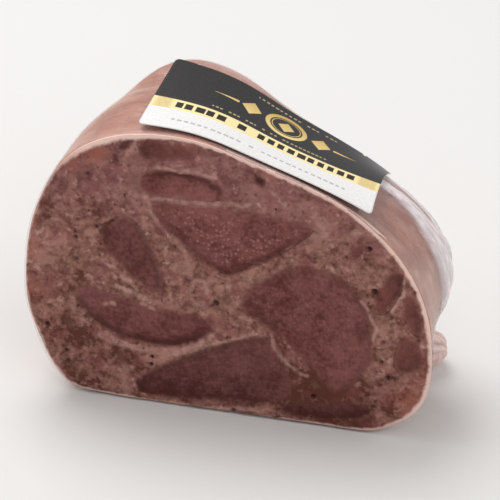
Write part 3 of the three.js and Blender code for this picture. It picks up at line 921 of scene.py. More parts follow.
def meat_material(colours):
    """Ground meat at the cut, with painted shade in its holes, rusty towards the rim and with a pale
    line along it, and the casing's smoother tan along the side."""
    material, web = new_material("Ground meat")
    where = web.position()
    rim, pit, away, piece_tone, wide, strength = web.attributes(
        "rim", "pit", "away", "piece_tone", "edge_width", "edge_strength")
    colour, height = ground_meat(web, where, colours)
    from_edge = web.less(ragged_edge(web, where), away)
    near = tuple(0.5 * (a + b) for a, b in zip(colours.tongue_light, colours.tongue_dark))
    near = web.scaled(near, piece_tone)
    colour = web.mix(web.step(from_edge, -1.1, 1.1), colour, near)
    colour, height = crossed(web, where, colour, height, colours)
    pepper = flecks(web, where, 3.4 * MM, 0.2, 0.12)
    colour = web.mix(web.times(pepper, 0.8), colour, TINTS["pepper"])
    # Painted shade in the holes, darker the deeper they are
    colour = web.mix(web.times(pit, 0.8), colour, TINTS["hole_shade"])
    ragged = web.swing(web.noise(where, 2.4 * MM, 3.0, 0.6), 1.6)
    line = web.step(web.sum(rim, ragged), web.times(wide, 0.3), wide, 1.0, 0.0)
    colour = web.mix(web.times(line, strength), colour, colours.rim[:])
    side, side_height = casing(web, where, colours)
    at_side = web.step(rim, -0.5, -0.1, 1.0, 0.0)
    colour = web.mix(at_side, colour, side)
    height = web.blend(at_side, height, side_height)
    roughness = web.step(web.noise(where, 1.5 * MM, 3.0, 0.6), 0.3, 0.7, 0.42, 0.62)
    close_meat(web, colour, roughness, height, 0.6 * MM)
    return material


def tongue_material(name, look, seed, colours, base):
    """Tongue and lean meat: close-grained, with fibres along the piece and fine pale dots, with
    painted shade that darkens it towards one side and a painted shadow along one edge, and merging
    with the ground meat along its outline."""
    material, web = new_material(name)
    where = web.position()
    own = web.mapping(where, location=(seed * 0.031, 0, seed * 0.017))
    along, across, inset, shade = web.attributes("along", "across", "inset", "shade")
    # Painted shade: the piece grows darker towards one side
    darker_to = math.radians(look.darker_to)
    shade_toward = web.sum(web.times(along, math.cos(darker_to)), web.times(across, math.sin(darker_to)))
    blotch = web.noise(own, 6 * MM, 3.0)
    grain = web.noise(own, 1.2 * MM)
    curve = web.sum(web.times(across, 9.0), web.times(along, along, 2.2))
    fibre_space = web.node("ShaderNodeCombineXYZ", {0: web.times(along, 2.2), 1: curve}).outputs[0]
    fibre = web.noise(fibre_space, 0.8, 3.0, 0.6)
    level = web.level(
        0.5, web.times(shade_toward, -0.32), web.swing(blotch, 1.8), web.swing(grain, 1.6),
        web.swing(fibre, 0.8))
    light, dark = (tuple(look.tone * part for part in colour) for colour in base)
    colour = web.mix(level, dark, light)
    dots = web.times(
        flecks(web, own, 1.1 * MM, 0.5, 0.55), web.step(blotch, 0.35, 0.6, 0.4),
        web.step(inset, 0.8, 3.0), look.speckle)
    colour = web.mix(dots, colour, TINTS["pale dot"])
    from_edge = web.sum(inset, ragged_edge(web, where))
    # Painted shadow along the piece's shaded edge
    shadow = web.times(shade, web.step(from_edge, 0.6, 3.4, look.shadow, 0.0))
    colour = web.mix(shadow, colour, tuple(0.42 * part for part in dark))
    height = web.sum(web.times(fibre, 0.3), web.times(grain, 0.35), web.times(blotch, 0.3))
    meat_colour, meat_height = ground_meat(web, where, colours)
    merge = web.step(from_edge, -look.soft, look.soft, 1.0, 0.0)
    colour, height = crossed(
        web, where, web.mix(merge, colour, meat_colour), web.blend(merge, height, meat_height),
        colours)
    close_meat(web, colour, 0.48, height, 0.45 * MM)
    return material


def film_material(name, tint):
    """Clear film: its gloss grows at grazing angles, and folds and wrinkles turn it milky; along the
    main fold that milkiness is partly a painted highlight.
    """
    material, web = new_material(name)
    wrinkle = web.noise(
        web.mapping(web.position(), scale=(0.5, 2.2, 0.6)), 2.6 * MM, 3.0, 0.6)
    normal = web.bump(0.5, 0.3 * MM, wrinkle)
    facing = web.node("ShaderNodeLayerWeight", {"Blend": 0.35, "Normal": normal}).outputs["Facing"]
    fresnel = web.node("ShaderNodeFresnel", {"IOR": 1.38, "Normal": normal}).outputs[0]
    clear = web.node("ShaderNodeBsdfTransparent").outputs[0]
    gloss = web.node("ShaderNodeBsdfAnisotropic", {
        "Color": (1, 1, 1), "Roughness": 0.18, "Normal": normal}).outputs[0]
    sheer = web.node("ShaderNodeMixShader", {0: web.times(fresnel, 0.22), 1: clear, 2: gloss})
    milky = web.surface(tint[:], 0.32, {"Normal": normal})
    streaks = web.math("MULTIPLY_ADD", web.step(wrinkle, 0.4, 0.66), 0.3, 0.7)
    rising = web.times(web.math("POWER", facing, 4.0), 0.07)
    amount = web.level(web.times(*web.attributes("haze"), streaks), rising)
    close_material(web, web.node("ShaderNodeMixShader", {
        0: amount, 1: sheer.outputs[0], 2: milky}).outputs[0])
    return material


def window(web, value, low, high, soft=0.06):
    """1 between two values and 0 outside them, with a soft edge."""
    rises = web.step(value, low - soft, low + soft)
    return web.times(rises, web.step(value, high - soft, high + soft, 1.0, 0.0))


def dashes(web, u, v, rows, columns, pitch, filled, seed):
    """A row of small plain bars of uneven length, as a mask."""
    place = web.math("DIVIDE", u, pitch)
    share = web.math("FRACT", place)
    draw = web.node("ShaderNodeTexWhiteNoise", {
        "W": web.sum(web.math("FLOOR", place), seed)}, noise_dimensions="1D").outputs["Value"]
    long = web.math("MULTIPLY_ADD", draw, 0.3, filled - 0.15)
    return web.times(
        web.step(share, 0.05, 0.11), web.math("LESS_THAN", share, long),
        web.math("GREATER_THAN", draw, 0.1), window(web, v, *rows), window(web, u, *columns))


def ornament(web, u, v, centre_u, centre_v):
    """A plain emblem as a mask: a ring round a lozenge, with a lozenge and a rule on each side."""
    side = web.math("ABSOLUTE", web.less(u, centre_u))
    level = web.math("ABSOLUTE", web.less(v, centre_v))

    def lozenge(middle, half_u, half_v):
        du = web.math("DIVIDE", web.math("ABSOLUTE", web.less(side, middle)), half_u)
        return web.step(web.sum(du, web.math("DIVIDE", level, half_v)), 0.94, 1.06, 1.0, 0.0)

    across, up = (
        web.math("POWER", web.math("DIVIDE", value, half), 2.0)
        for value, half in ((side, 6.6), (level, 6.2)))
    radius = web.math("SQRT", web.sum(across, up))
    rule_half = web.step(side, 15.5, 22.5, 0.55, 0.08)
    rule = web.times(web.math("LESS_THAN", level, rule_half), window(web, side, 15.2, 22.5))
    return web.highest(
        window(web, radius, 0.78, 1.0, 0.02), window(web, radius, 0.66, 0.7, 0.015),
        lozenge(0.0, 2.6, 2.9), lozenge(11.2, 3.1, 3.6), rule)


def label_material(colours):
    """The printed card: a dark field with a gold ornament, a gold band with dark bars, and a
    white strip with thin grey dashes. The surface coordinates are millimetres."""
    material, web = new_material("Label print")
    uv = web.node("ShaderNodeUVMap", uv_map="print").outputs[0]
    u, v, _ = web.parts(uv)
    depth, width = LABEL_DEPTH / MM, LABEL_WIDTH / MM
    band_low, band_high = 0.28 * depth, 0.425 * depth
    paper = web.noise(uv, 0.8, 3.0)
    fibres = web.step(paper, 0.3, 0.7)
    small = dashes(web, u, v, (4.6, 5.5), (8, width - 10), 1.9, 0.72, 3)
    white = web.mix(fibres, TINTS["shaded card"], colours.label_white[:])
    white = web.mix(web.times(small, 0.55), white, TINTS["grey print"])
    ends = web.highest(
        window(web, u, 1.2, 5.6, 0.8), window(web, u, width - 7, width - 1.2, 0.8))
    bars = dashes(web, u, v, (band_low + 1.3, band_high - 1.2), (7, width - 8), 3.1, 0.8, 11)
    gold = web.mix(web.times(ends, 0.7), colours.label_gold[:], TINTS["ochre"])
    gold = web.mix(web.step(paper, 0.35, 0.75, 0.0, 0.3), gold, TINTS["pale gold"])
    gold = web.mix(bars, gold, TINTS["bar"])
    gilt = web.mix(
        web.step(v, 0.5 * depth, 0.86 * depth), TINTS["gilt"], TINTS["dark gilt"])
    print_rows = web.highest(
        dashes(web, u, v, (0.905 * depth, 0.925 * depth), (26, width - 16), 1.5, 0.7, 29),
        dashes(web, u, v, (0.475 * depth, 0.495 * depth), (16, width - 18), 1.3, 0.7, 41))
    tick = web.times(
        window(web, u, 0.86 * width, 0.86 * width + 0.8),
        web.math("GREATER_THAN", v, depth - 1.2))
    field = web.mix(fibres, TINTS["shaded field"], colours.label_dark[:])
    field = web.mix(ornament(web, u, v, 0.53 * width, 0.7 * depth), field, gilt)
    field = web.mix(web.times(print_rows, 0.6), field, TINTS["gold print"])
    field = web.mix(tick, field, TINTS["tick"])
    past_low, past_high = (
        web.step(v, edge - 0.05, edge + 0.05) for edge in (band_low, band_high))
    colour = web.mix(past_high, web.mix(past_low, white, gold), field)
    roughness = web.step(v, band_high - 0.05, band_high + 0.05, 0.42, 0.34)
    close_material(web, web.surface(colour, roughness, {
        "Normal": web.bump(0.12, 0.1 * MM, web.noise(uv, 0.35, 4.0)),
        "Specular IOR Level": 0.4}))
    return material


def card_material():
    """The bare card at the label's cut edges and underside."""
    material, web = new_material("Label card")
    grain = web.noise(web.position(), 0.4 * MM, 3.0)
    colour = web.mix(grain, TINTS["dark card"], TINTS["light card"])
    close_material(web, web.surface(colour, 0.6))
    return material


def floor_material(colours):
    """A plain pale floor with the faintest unevenness."""
    material, web = new_material("Pale floor")
    pale = colours.floor[:]
    colour = web.mix(
        web.noise(web.position(), 150 * MM), tuple(0.97 * part for part in pale), pale)
    close_material(web, web.surface(colour, 0.7, {"Specular IOR Level": 0.2}))
    return material


# Pieces


def pit_depth(x, z):
    """How deep the holes are at points of the face, in metres."""
    draw = np.random.default_rng(7)
    small = np.stack([draw.uniform(*ends, SMALL_PITS) for ends in SMALL_PIT_RANGE], axis=-1)
    depth = np.zeros(len(x))
    for pit_x, pit_z, radius, deep in np.vstack([PITS, small]) * MM:
        away = np.hypot(x - pit_x, z - pit_z) / radius
        depth = np.maximum(depth, deep * (1 - ease(away, 0.2, 1.3)))
    return depth


def cut_depth(x, z, form, grain=1.0):
    """How far the cut lies behind its plane: it swells a little and has the meat's grain."""
    flat = np.stack([x, np.zeros_like(x), z], axis=-1)
    coarse = form.grain * rough(flat, 3.4 * MM, 1, 3)
    swell = form.swell * rough(flat, 12 * MM, 2, 1)
    return np.maximum(SHALLOWEST, CUT_RECESS - coarse * grain - swell)


def spots(x, z, places):
    """The sum of some broad soft spots at points of the face, all in millimetres."""
    shown = np.zeros(len(x))
    for spot_x, spot_z, radius, amount in places:
        shown += amount * (1 - ease(np.hypot(x - spot_x, z - spot_z) / radius, 0.15, 1.25))
    return shown


# How a piece looks: its tone, the angle that its painted shade darkens it towards, how strongly
# its pale dots show, the angle and the strength of its edge of painted shadow, how far it stands
# out, and how far to each side of its outline it merges with the rest. Angles are in degrees and
# lengths in millimetres.
Look = namedtuple("Look", "tone darker_to speckle shaded_to shadow swell soft")
LOOKS = {
    "tongue_cap": Look(1.0, 120, 0.25, 65, 0.5, -0.25, 0.9),
    "tongue_wedge": Look(0.95, -90, 0.9, -65, 0.4, 0.1, 0.8),
    "tongue_plum": Look(0.77, -120, 0.1, 0, 0.3, -0.15, 1.6),
    "tongue_crescent": Look(0.84, -40, 0.15, -110, 0.5, 0.25, 1.0),
    "tongue_bottom": Look(0.64, 230, 0.15, 170, 0.3, 0.1, 1.2),
    "tongue_broad": Look(0.87, 200, 0.3, 15, 0.3, 0.15, 2.0),
    "tongue_heel": Look(0.58, -90, 0.1, -60, 0.2, 0.0, 1.0),
    "lean_crown": Look(0.9, 180, 0.1, 180, 0.3, 0.0, 1.6),
    "lean_rim_upper": Look(0.92, 0, 0.15, 0, 0.3, 0.05, 1.3),
    "lean_rim_middle": Look(0.9, 0, 0.15, 0, 0.3, 0.05, 1.3),
    "lean_rim_lower": Look(0.86, 180, 0.15, -60, 0.3, 0.0, 1.5),
}


def strokes(x, z, lines):
    """How strongly some soft lines show at points of the face, all in millimetres."""
    shown = np.zeros(len(x))
    for half_width, strength, *line in lines:
        for start, end in zip(line[:-1], line[1:]):
            away = from_segment(x, z, start, end)
            shown = np.maximum(shown, strength * (1 - ease(away, 0.15 * half_width, half_width)))
    return shown


def mark_cut(mesh):
    """Marks the vertices near the cut with the meat's broad tone there, and with how strongly rust,
    the pale lines (skins and painted highlights) and the dark lines (dark marks and painted
    shade) show. Their shapes waver a little."""
    points = points_of(mesh)
    near = points[:, 1] - FACE < NEAR_FACE
    flat = points[near] / MM * (1, 0, 1)
    wide = 1.6 * rough(flat, 7, 13, 2)
    x, z = flat[:, 0] + wide, flat[:, 2] - wide
    values = {"tone": spots(x, z, TONES), "rust": spots(x, z, RUST)}
    x = flat[:, 0] + 0.7 * rough(flat, 3.6, 11, 3)
    z = flat[:, 2] + 0.7 * rough(flat, 3.6, 12, 3)
    values["pale"] = strokes(x, z, PALE_AND_GLINT_LINES)
    values["dark"] = strokes(x, z, DARK_AND_SHADE_LINES)
    for name, shown in values.items():
        marks = np.zeros(len(points))
        marks[near] = shown
        set_attributes(mesh, **{name: marks})


class SAUSAGE_OT_ground_meat(Operator):
    """Makes the ground meat with its casing, hollowed for the pieces that run through it"""

    bl_idname = "sausage.ground_meat"
    bl_label = "Ground meat"

    # The blank's cells, the depths of its first rings in millimetres, how many rings follow, how
    # far they keep from the first ones and from the end, how high the casing's ripples are, and
    # how near to a piece its distance is worked out
    CELLS = 224
    FIRST_RINGS = (1.3, 2.0, 2.9)
    EVEN_RINGS = 30
    RING_GAP = 0.12
    RIPPLE = 0.12 * MM
    BLEND_REACH = 4 * MM

    def execute(self, context):
        form = context.scene.sausage_form
        first = place_at(np.array(self.FIRST_RINGS) * MM)
        even = np.linspace(first[-1] + self.RING_GAP, LAST_SECTION - self.RING_GAP, self.EVEN_RINGS)
        places = np.concatenate([[0], first, even, [LAST_SECTION]])
        bm = closed_blank(self.CELLS, len(places) - 1)
        a, b, ring = blank_coordinates(bm)
        row = np.rint(ring).astype(int)
        out, share = round_square(a, b)
        corner = np.where(row == 0, RIM_RADIUS, 0)
        points, normal = skin(places[row], share, form.meat_sink + corner)
        side = row > 0
        ripple = self.RIPPLE * rough(points[side] * (1, 0.4, 1), 9 * MM, 5, 2)
        points[side] += normal[side] * ripple[:, None]
        points[:, 2] = np.maximum(points[:, 2], form.meat_sink)
        front = ~side
        middle = np.array([FACE_CENTRE[0], 0, FACE_CENTRE[1]])
        points[front] = middle + (points[front] - middle) * out[front, None]
        x, z = points[front, 0], points[front, 2]
        points[front, 1] = FACE + cut_depth(x, z, form) + pit_depth(x, z)
        set_points(bm, points)
        meat = new_piece(bm, "ground_meat_cut")
        self.hollow(context, meat, form)
        self.paint(meat.data, form)
        material = meat_material(context.scene.sausage_colours)
        finish_piece(meat, "ground_meat", material, "ground_meat")
        return {"FINISHED"}

    def hollow(self, context, meat, form):
        """Takes the room of every piece out of the meat."""
        cutters = bpy.data.collections.new("cutters")
        context.scene.collection.children.link(cutters)
        for values, cells in ((TONGUE, TONGUE_CELLS), (LEAN, LEAN_CELLS)):
            for value in values.values():
                cutter = hollow_cutter(Oval(value), cells, form.piece_gap)
                context.scene.collection.objects.unlink(cutter)
                cutters.objects.link(cutter)
        cut = meat.modifiers.new("hollows", "BOOLEAN")
        cut.operation = "DIFFERENCE"
        cut.operand_type = "COLLECTION"
        cut.collection = cutters
        cut.solver = "MANIFOLD"
        context.view_layer.update()
        result = bpy.data.meshes.new_from_object(
            meat.evaluated_get(context.evaluated_depsgraph_get()))
        meat.modifiers.clear()
        meat.data = result
        for cutter in list(cutters.objects):
            bpy.data.objects.remove(cutter)
        bpy.data.collections.remove(cutters)
        if len(result.polygons) < self.CELLS ** 2:
            raise RuntimeError("the hollows did not cut the meat")

    def paint(self, mesh, form):
        """Marks each vertex. In millimetres: how far inside the rim it lies, or, below zero, half
        as far as it lies back along the side, how wide the rim's line is there, and how far away
        the nearest piece is. As shares: how clearly that line shows, how deep in a hole the
        vertex lies, which sets the painted shade there, and the nearest piece's tone."""
        points = points_of(mesh)
        x, z = points[:, 0], points[:, 2]
        depth = points[:, 1] - FACE
        near_face = depth < NEAR_FACE
        inside = np.zeros(len(x))
        inside[near_face] = -COARSE_RIM.distance(x[near_face], z[near_face])
        at_side = (depth > 1.1 * MM) & (inside < form.meat_sink + 0.3 * MM)
        rim = np.where(at_side, -depth / 2, np.maximum(0, inside - form.meat_sink - RIM_RADIUS))
        pit = np.zeros(len(x))
        pit[near_face] = ease(pit_depth(x[near_face], z[near_face]), 0.1 * MM, 0.8 * MM)
        round_face = np.degrees(np.arctan2(z - FACE_CENTRE[1], x - FACE_CENTRE[0])) % 360
        angles, wide, shown = np.array(RIM_LINE).T
        away = np.full(len(x), 9.0)
        tone = np.ones(len(x))
        for name, values in {**TONGUE, **LEAN}.items():
            line = Oval(values).edge.even(EDGE_POINTS)
            low = line.points[:, :2].min(0) - self.BLEND_REACH
            high = line.points[:, :2].max(0) + self.BLEND_REACH
            close = near_face & (x > low[0]) & (x < high[0]) & (z > low[1]) & (z < high[1])
            distance = np.full(len(x), np.inf)
            distance[close] = np.maximum(0, line.distance(x[close], z[close])) / MM
            tone[distance < away] = LOOKS[name].tone
            away = np.minimum(away, distance)
        set_attributes(
            mesh, rim=rim / MM, pit=pit, edge_width=np.interp(round_face, angles, wide),
            edge_strength=np.interp(round_face, angles, shown), away=away, piece_tone=tone)
        mark_cut(mesh)


def make_piece(name, values, cells, slot, form, material):
    """One piece of meat that runs back from the cut face, where it is flush with the rest along
    its outline and swells or sinks a little inside it."""
    oval, look = Oval(values), LOOKS[name]
    line = oval.edge.even(EDGE_POINTS)

    def front(x, z):
        inset = -line.distance(x, z)
        depth = cut_depth(x, z, form, 1 - 0.75 * ease(inset, 0, GRAIN_FROM_EDGE))
        depth -= look.swell * MM * ease(inset, 0, SWELL_FROM_EDGE)
        return np.stack([x, FACE + np.maximum(depth, SHALLOWEST), z], axis=-1)

    bm, u, v, share = piece_body(oval, cells, 0.0, front, PIECE_MOUTH)
    piece = new_piece(bm, f"{name}_cut")
    points = points_of(piece.data)
    inset = -line.distance(points[:, 0], points[:, 2]) / MM
    inset[points[:, 1] > FACE + 0.9 * PIECE_MOUTH[0]] = 0
    before_x, before_z = oval.edge.at(share - 0.01)[:2]
    after_x, after_z = oval.edge.at(share + 0.01)[:2]
    outward = unit(np.stack([after_z - before_z, before_x - after_x], axis=-1))
    # Which side of the outline gets the painted shadow
    shaded_to = math.radians(look.shaded_to)
    facing = outward @ (math.cos(shaded_to), math.sin(shaded_to))
    set_attributes(piece.data, along=u, across=v, inset=inset, shade=ease(facing, -0.1, 0.75))
    mark_cut(piece.data)
    finish_piece(piece, slot, material, name)


def make_pieces(scene, table, cells, slot, light, dark, first_seed):
    """The pieces of one kind, each with its own material."""
    colours = scene.sausage_colours
    for seed, (name, values) in enumerate(table.items(), first_seed):
        material = tongue_material(name, LOOKS[name], seed, colours, (light, dark))
        make_piece(name, values, cells, slot, scene.sausage_form, material)


class SAUSAGE_OT_tongue(Operator):
    """Makes the seven pieces of tongue"""

    bl_idname = "sausage.tongue"
    bl_label = "Tongue pieces"

    def execute(self, context):
        colours = context.scene.sausage_colours
        light, dark = colours.tongue_light[:], colours.tongue_dark[:]
        make_pieces(context.scene, TONGUE, TONGUE_CELLS, "tongue", light, dark, 0)
        return {"FINISHED"}


class SAUSAGE_OT_lean(Operator):
    """Makes the four small pieces of lean meat near the rim"""

    bl_idname = "sausage.lean"
    bl_label = "Lean pieces"

    def execute(self, context):
        light = context.scene.sausage_colours.lean[:]
        dark = tuple(0.55 * part for part in light)
        make_pieces(context.scene, LEAN, LEAN_CELLS, "lean", light, dark, 31)
        return {"FINISHED"}


def fold_pattern(points):
    """The film's folds, which run together at its gathered end: the height of the broad main fold
    and of the finer ones, both from 0 to 1."""
    back, up = points[:, 1] - FACE - GATHER[1], points[:, 2] - GATHER[2]
    away = np.hypot(back, up) / MM
    angle = np.degrees(np.arctan2(up, back))
    wander = 5 * rough(points, 15 * MM, 61, 2)
    away_from, middle, half_width = np.array(MAIN_FOLD).T
    offset = (angle + 0.5 * wander - np.interp(away, away_from, middle))
    offset /= np.interp(away, away_from, half_width)
    right = ease(points[:, 0], 16 * MM, 40 * MM)
    main = np.exp(-offset ** 4) * (0.6 + 0.4 * np.cos(5.5 * offset) ** 2) * right
    ridges = 1 - abs(np.sin(np.radians(angle + wander) * 13))
    rear = ease(105 - angle, -8, 12) * ease(points[:, 0], 0, 34 * MM)
    fine = ridges ** 2 * rear * ease(away, 3, 14)
    return main, fine


class SAUSAGE_OT_film(Operator):
    """Makes the clear film with its folds, its welded seam and its gathered end"""

    bl_idname = "sausage.film"
    bl_label = "Clear film"

    # The film's cells round the body and back along it, those of the seam along and across it,
    # and the tight film's fine wrinkles round the body: their height and spacing
    AROUND = 480
    RINGS = 84
    SEAM_COLUMNS = 220
    SEAM_ROWS = 12
    HOOP_HEIGHT = 0.16 * MM
    HOOP_SPACING = 4.6 * MM

    # The gathered lobe's creases: half as many as go round it, how deep they are and how high the
    # lumps between them, as shares of its size
    CREASES = 4.5
    CREASE_DEPTH = 0.2
    LUMP_HEIGHT = 0.1

    def execute(self, context):
        form = context.scene.sausage_form
        colours = context.scene.sausage_colours
        material = film_material("Clear film", colours.film)
        self.wrap(form, material)
        self.seam(form, material)
        self.gather(film_material("Gathered film", colours.gathered))
        return {"FINISHED"}

    def wrap(self, form, material):
        bm = open_blank(self.AROUND, self.RINGS)
        across, up, ring = blank_coordinates(bm)
        share = np.arctan2(up, across) / (2 * math.pi)
        place = LAST_SECTION * (ring / self.RINGS)
        ragged = rough(np.stack([across, up, 0 * up], axis=-1), 0.12, 51, 2)
        start = place_at(np.maximum(0.1, 0.4 + 0.4 * ragged) * MM)
        place = np.where(ring == 0, start, np.maximum(place, start + 0.01 * ring))
        points, normal = skin(place, share, form.film_sink)
        main, fine = fold_pattern(points)
        wander = rough(points, 40 * MM, 52, 1)
        hoop = 1 - abs(np.sin(points[:, 1] / self.HOOP_SPACING + 1.6 * wander))
        hoop = hoop ** 3 * np.clip(0.3 + rough(points, 22 * MM, 53, 1), 0, 1)
        height = form.fold_height * np.maximum(main, 0.6 * fine)
        height += self.HOOP_HEIGHT * hoop * (ring > 2)
        points += normal * height[:, None]
        points = np.clip(points, CAD_BOX[0], CAD_BOX[1])
        set_points(bm, points)
        film = new_piece(bm, "film_sleeve")
        # The haze is milky film; along the main fold it is also a painted highlight
        haze = np.maximum(0.95 * main, 0.5 * fine) + 0.16 * hoop + 0.2 * (ring < 1)
        set_attributes(film.data, haze=np.clip(haze, 0, 1))
        thicken(film, form.film_thickness, -1)
        finish_piece(film, "film", material, "film_wrap")

    def seam_radius(self, angle, height):
        """How far the outer surface is from the seam's centre, straight out at this height."""
        places = np.linspace(0.3, LAST_SECTION - 0.3, 90)
        share = np.arange(720) / 720
        rings = carry(places[:, None], *RIM.at(share))
        x, depth, z = rings[..., 0], rings[..., 1] - FACE, rings[..., 2]
        above = z > height
        crosses = above != np.roll(above, -1, axis=1)
        level = (height - z) / (np.roll(z, -1, axis=1) - z + 1e-12)
        cross_x = (x + level * (np.roll(x, -1, axis=1) - x))[crosses] - SEAM_CENTRE[0]
        cross_y = depth[crosses] - SEAM_CENTRE[1]
        angles = np.arctan2(cross_x, cross_y)
        order = np.argsort(angles)
        return np.interp(angle, angles[order], np.hypot(cross_x, cross_y)[order])

    def seam(self, form, material):
        """The welded seam: a thin crimped strip that stands out of the film's back."""
        bm = grid(self.SEAM_COLUMNS, self.SEAM_ROWS)
        a, b, _ = blank_coordinates(bm)
        share, out = (a + 1) / 2, (b + 1) / 2
        angle = SEAM_HALF_ANGLE * (1 - 2 * share)
        height = SEAM_HEIGHT + SEAM_RISE * np.sin(math.pi * share)
        column = np.rint(share * self.SEAM_COLUMNS).astype(int)
        first = np.unique(column, return_index=True)[1]
        radius = np.array([self.seam_radius(angle[item], height[item]) for item in first])[column]
        wide = SEAM_WIDTH * np.minimum(1, 5 * (1 - share) + 0.1)
        crimp, wave = (high * np.sin(angle * radius / long) for high, long in (CRIMP, WAVE))
        reach = radius + out * wide - (1 - out) * 0.6 * MM
        points = np.stack([
            SEAM_CENTRE[0] + reach * np.sin(angle),
            FACE + SEAM_CENTRE[1] + reach * np.cos(angle),
            np.maximum(height + crimp * ease(out, 0.3, 0.5) + wave * out, 0.3 * MM)], axis=-1)
        set_points(bm, points)
        seam = new_piece(bm, "film_seam", closed=False)
        set_attributes(seam.data, haze=0.35 + 0.35 * out)
        thicken(seam, SEAM_THICKNESS, 0)
        finish_piece(seam, "film", material)

    def gather(self, material):
        """The seam's end, gathered into a creased lobe that lies on the floor. Its creases run
        together where it joins the body."""
        bm = bmesh.new()
        bmesh.ops.create_uvsphere(bm, u_segments=96, v_segments=48, radius=1)
        bmesh.ops.rotate(bm, verts=bm.verts, matrix=Matrix.Rotation(math.pi / 2, 3, "Y"))
        sphere = blank_coordinates(bm).T
        turn = np.arctan2(sphere[:, 2], sphere[:, 1])
        outer = (sphere[:, 0] + 1) / 2
        crease = 1 - abs(np.sin(self.CREASES * turn + 1.2 * rough(sphere, 0.9, 71, 2)))
        dent = self.CREASE_DEPTH * crease ** 2 * (1 - sphere[:, 0] ** 2)
        lump = self.LUMP_HEIGHT * rough(sphere, 0.6, 72, 2)
        pinch = 0.55 + 0.45 * ease(outer, 0.1, 0.75)
        shape = sphere * np.stack([np.ones_like(pinch), pinch, pinch], axis=-1)
        points = shape * (0.97 - dent + lump)[:, None] * (GATHER_HALF - 0.2 * MM)
        points += np.array([GATHER[0], FACE + GATHER[1], GATHER[2]])
        points[:, 2] = np.maximum(points[:, 2], 0.05 * MM)
        points = np.clip(points, CAD_BOX[0], CAD_BOX[1])
        set_points(bm, points)
        lobe = new_piece(bm, "film_gather")
        set_attributes(lobe.data, haze=np.clip(0.95 - 0.3 * crease, 0, 1))
        finish_piece(lobe, "film", material)


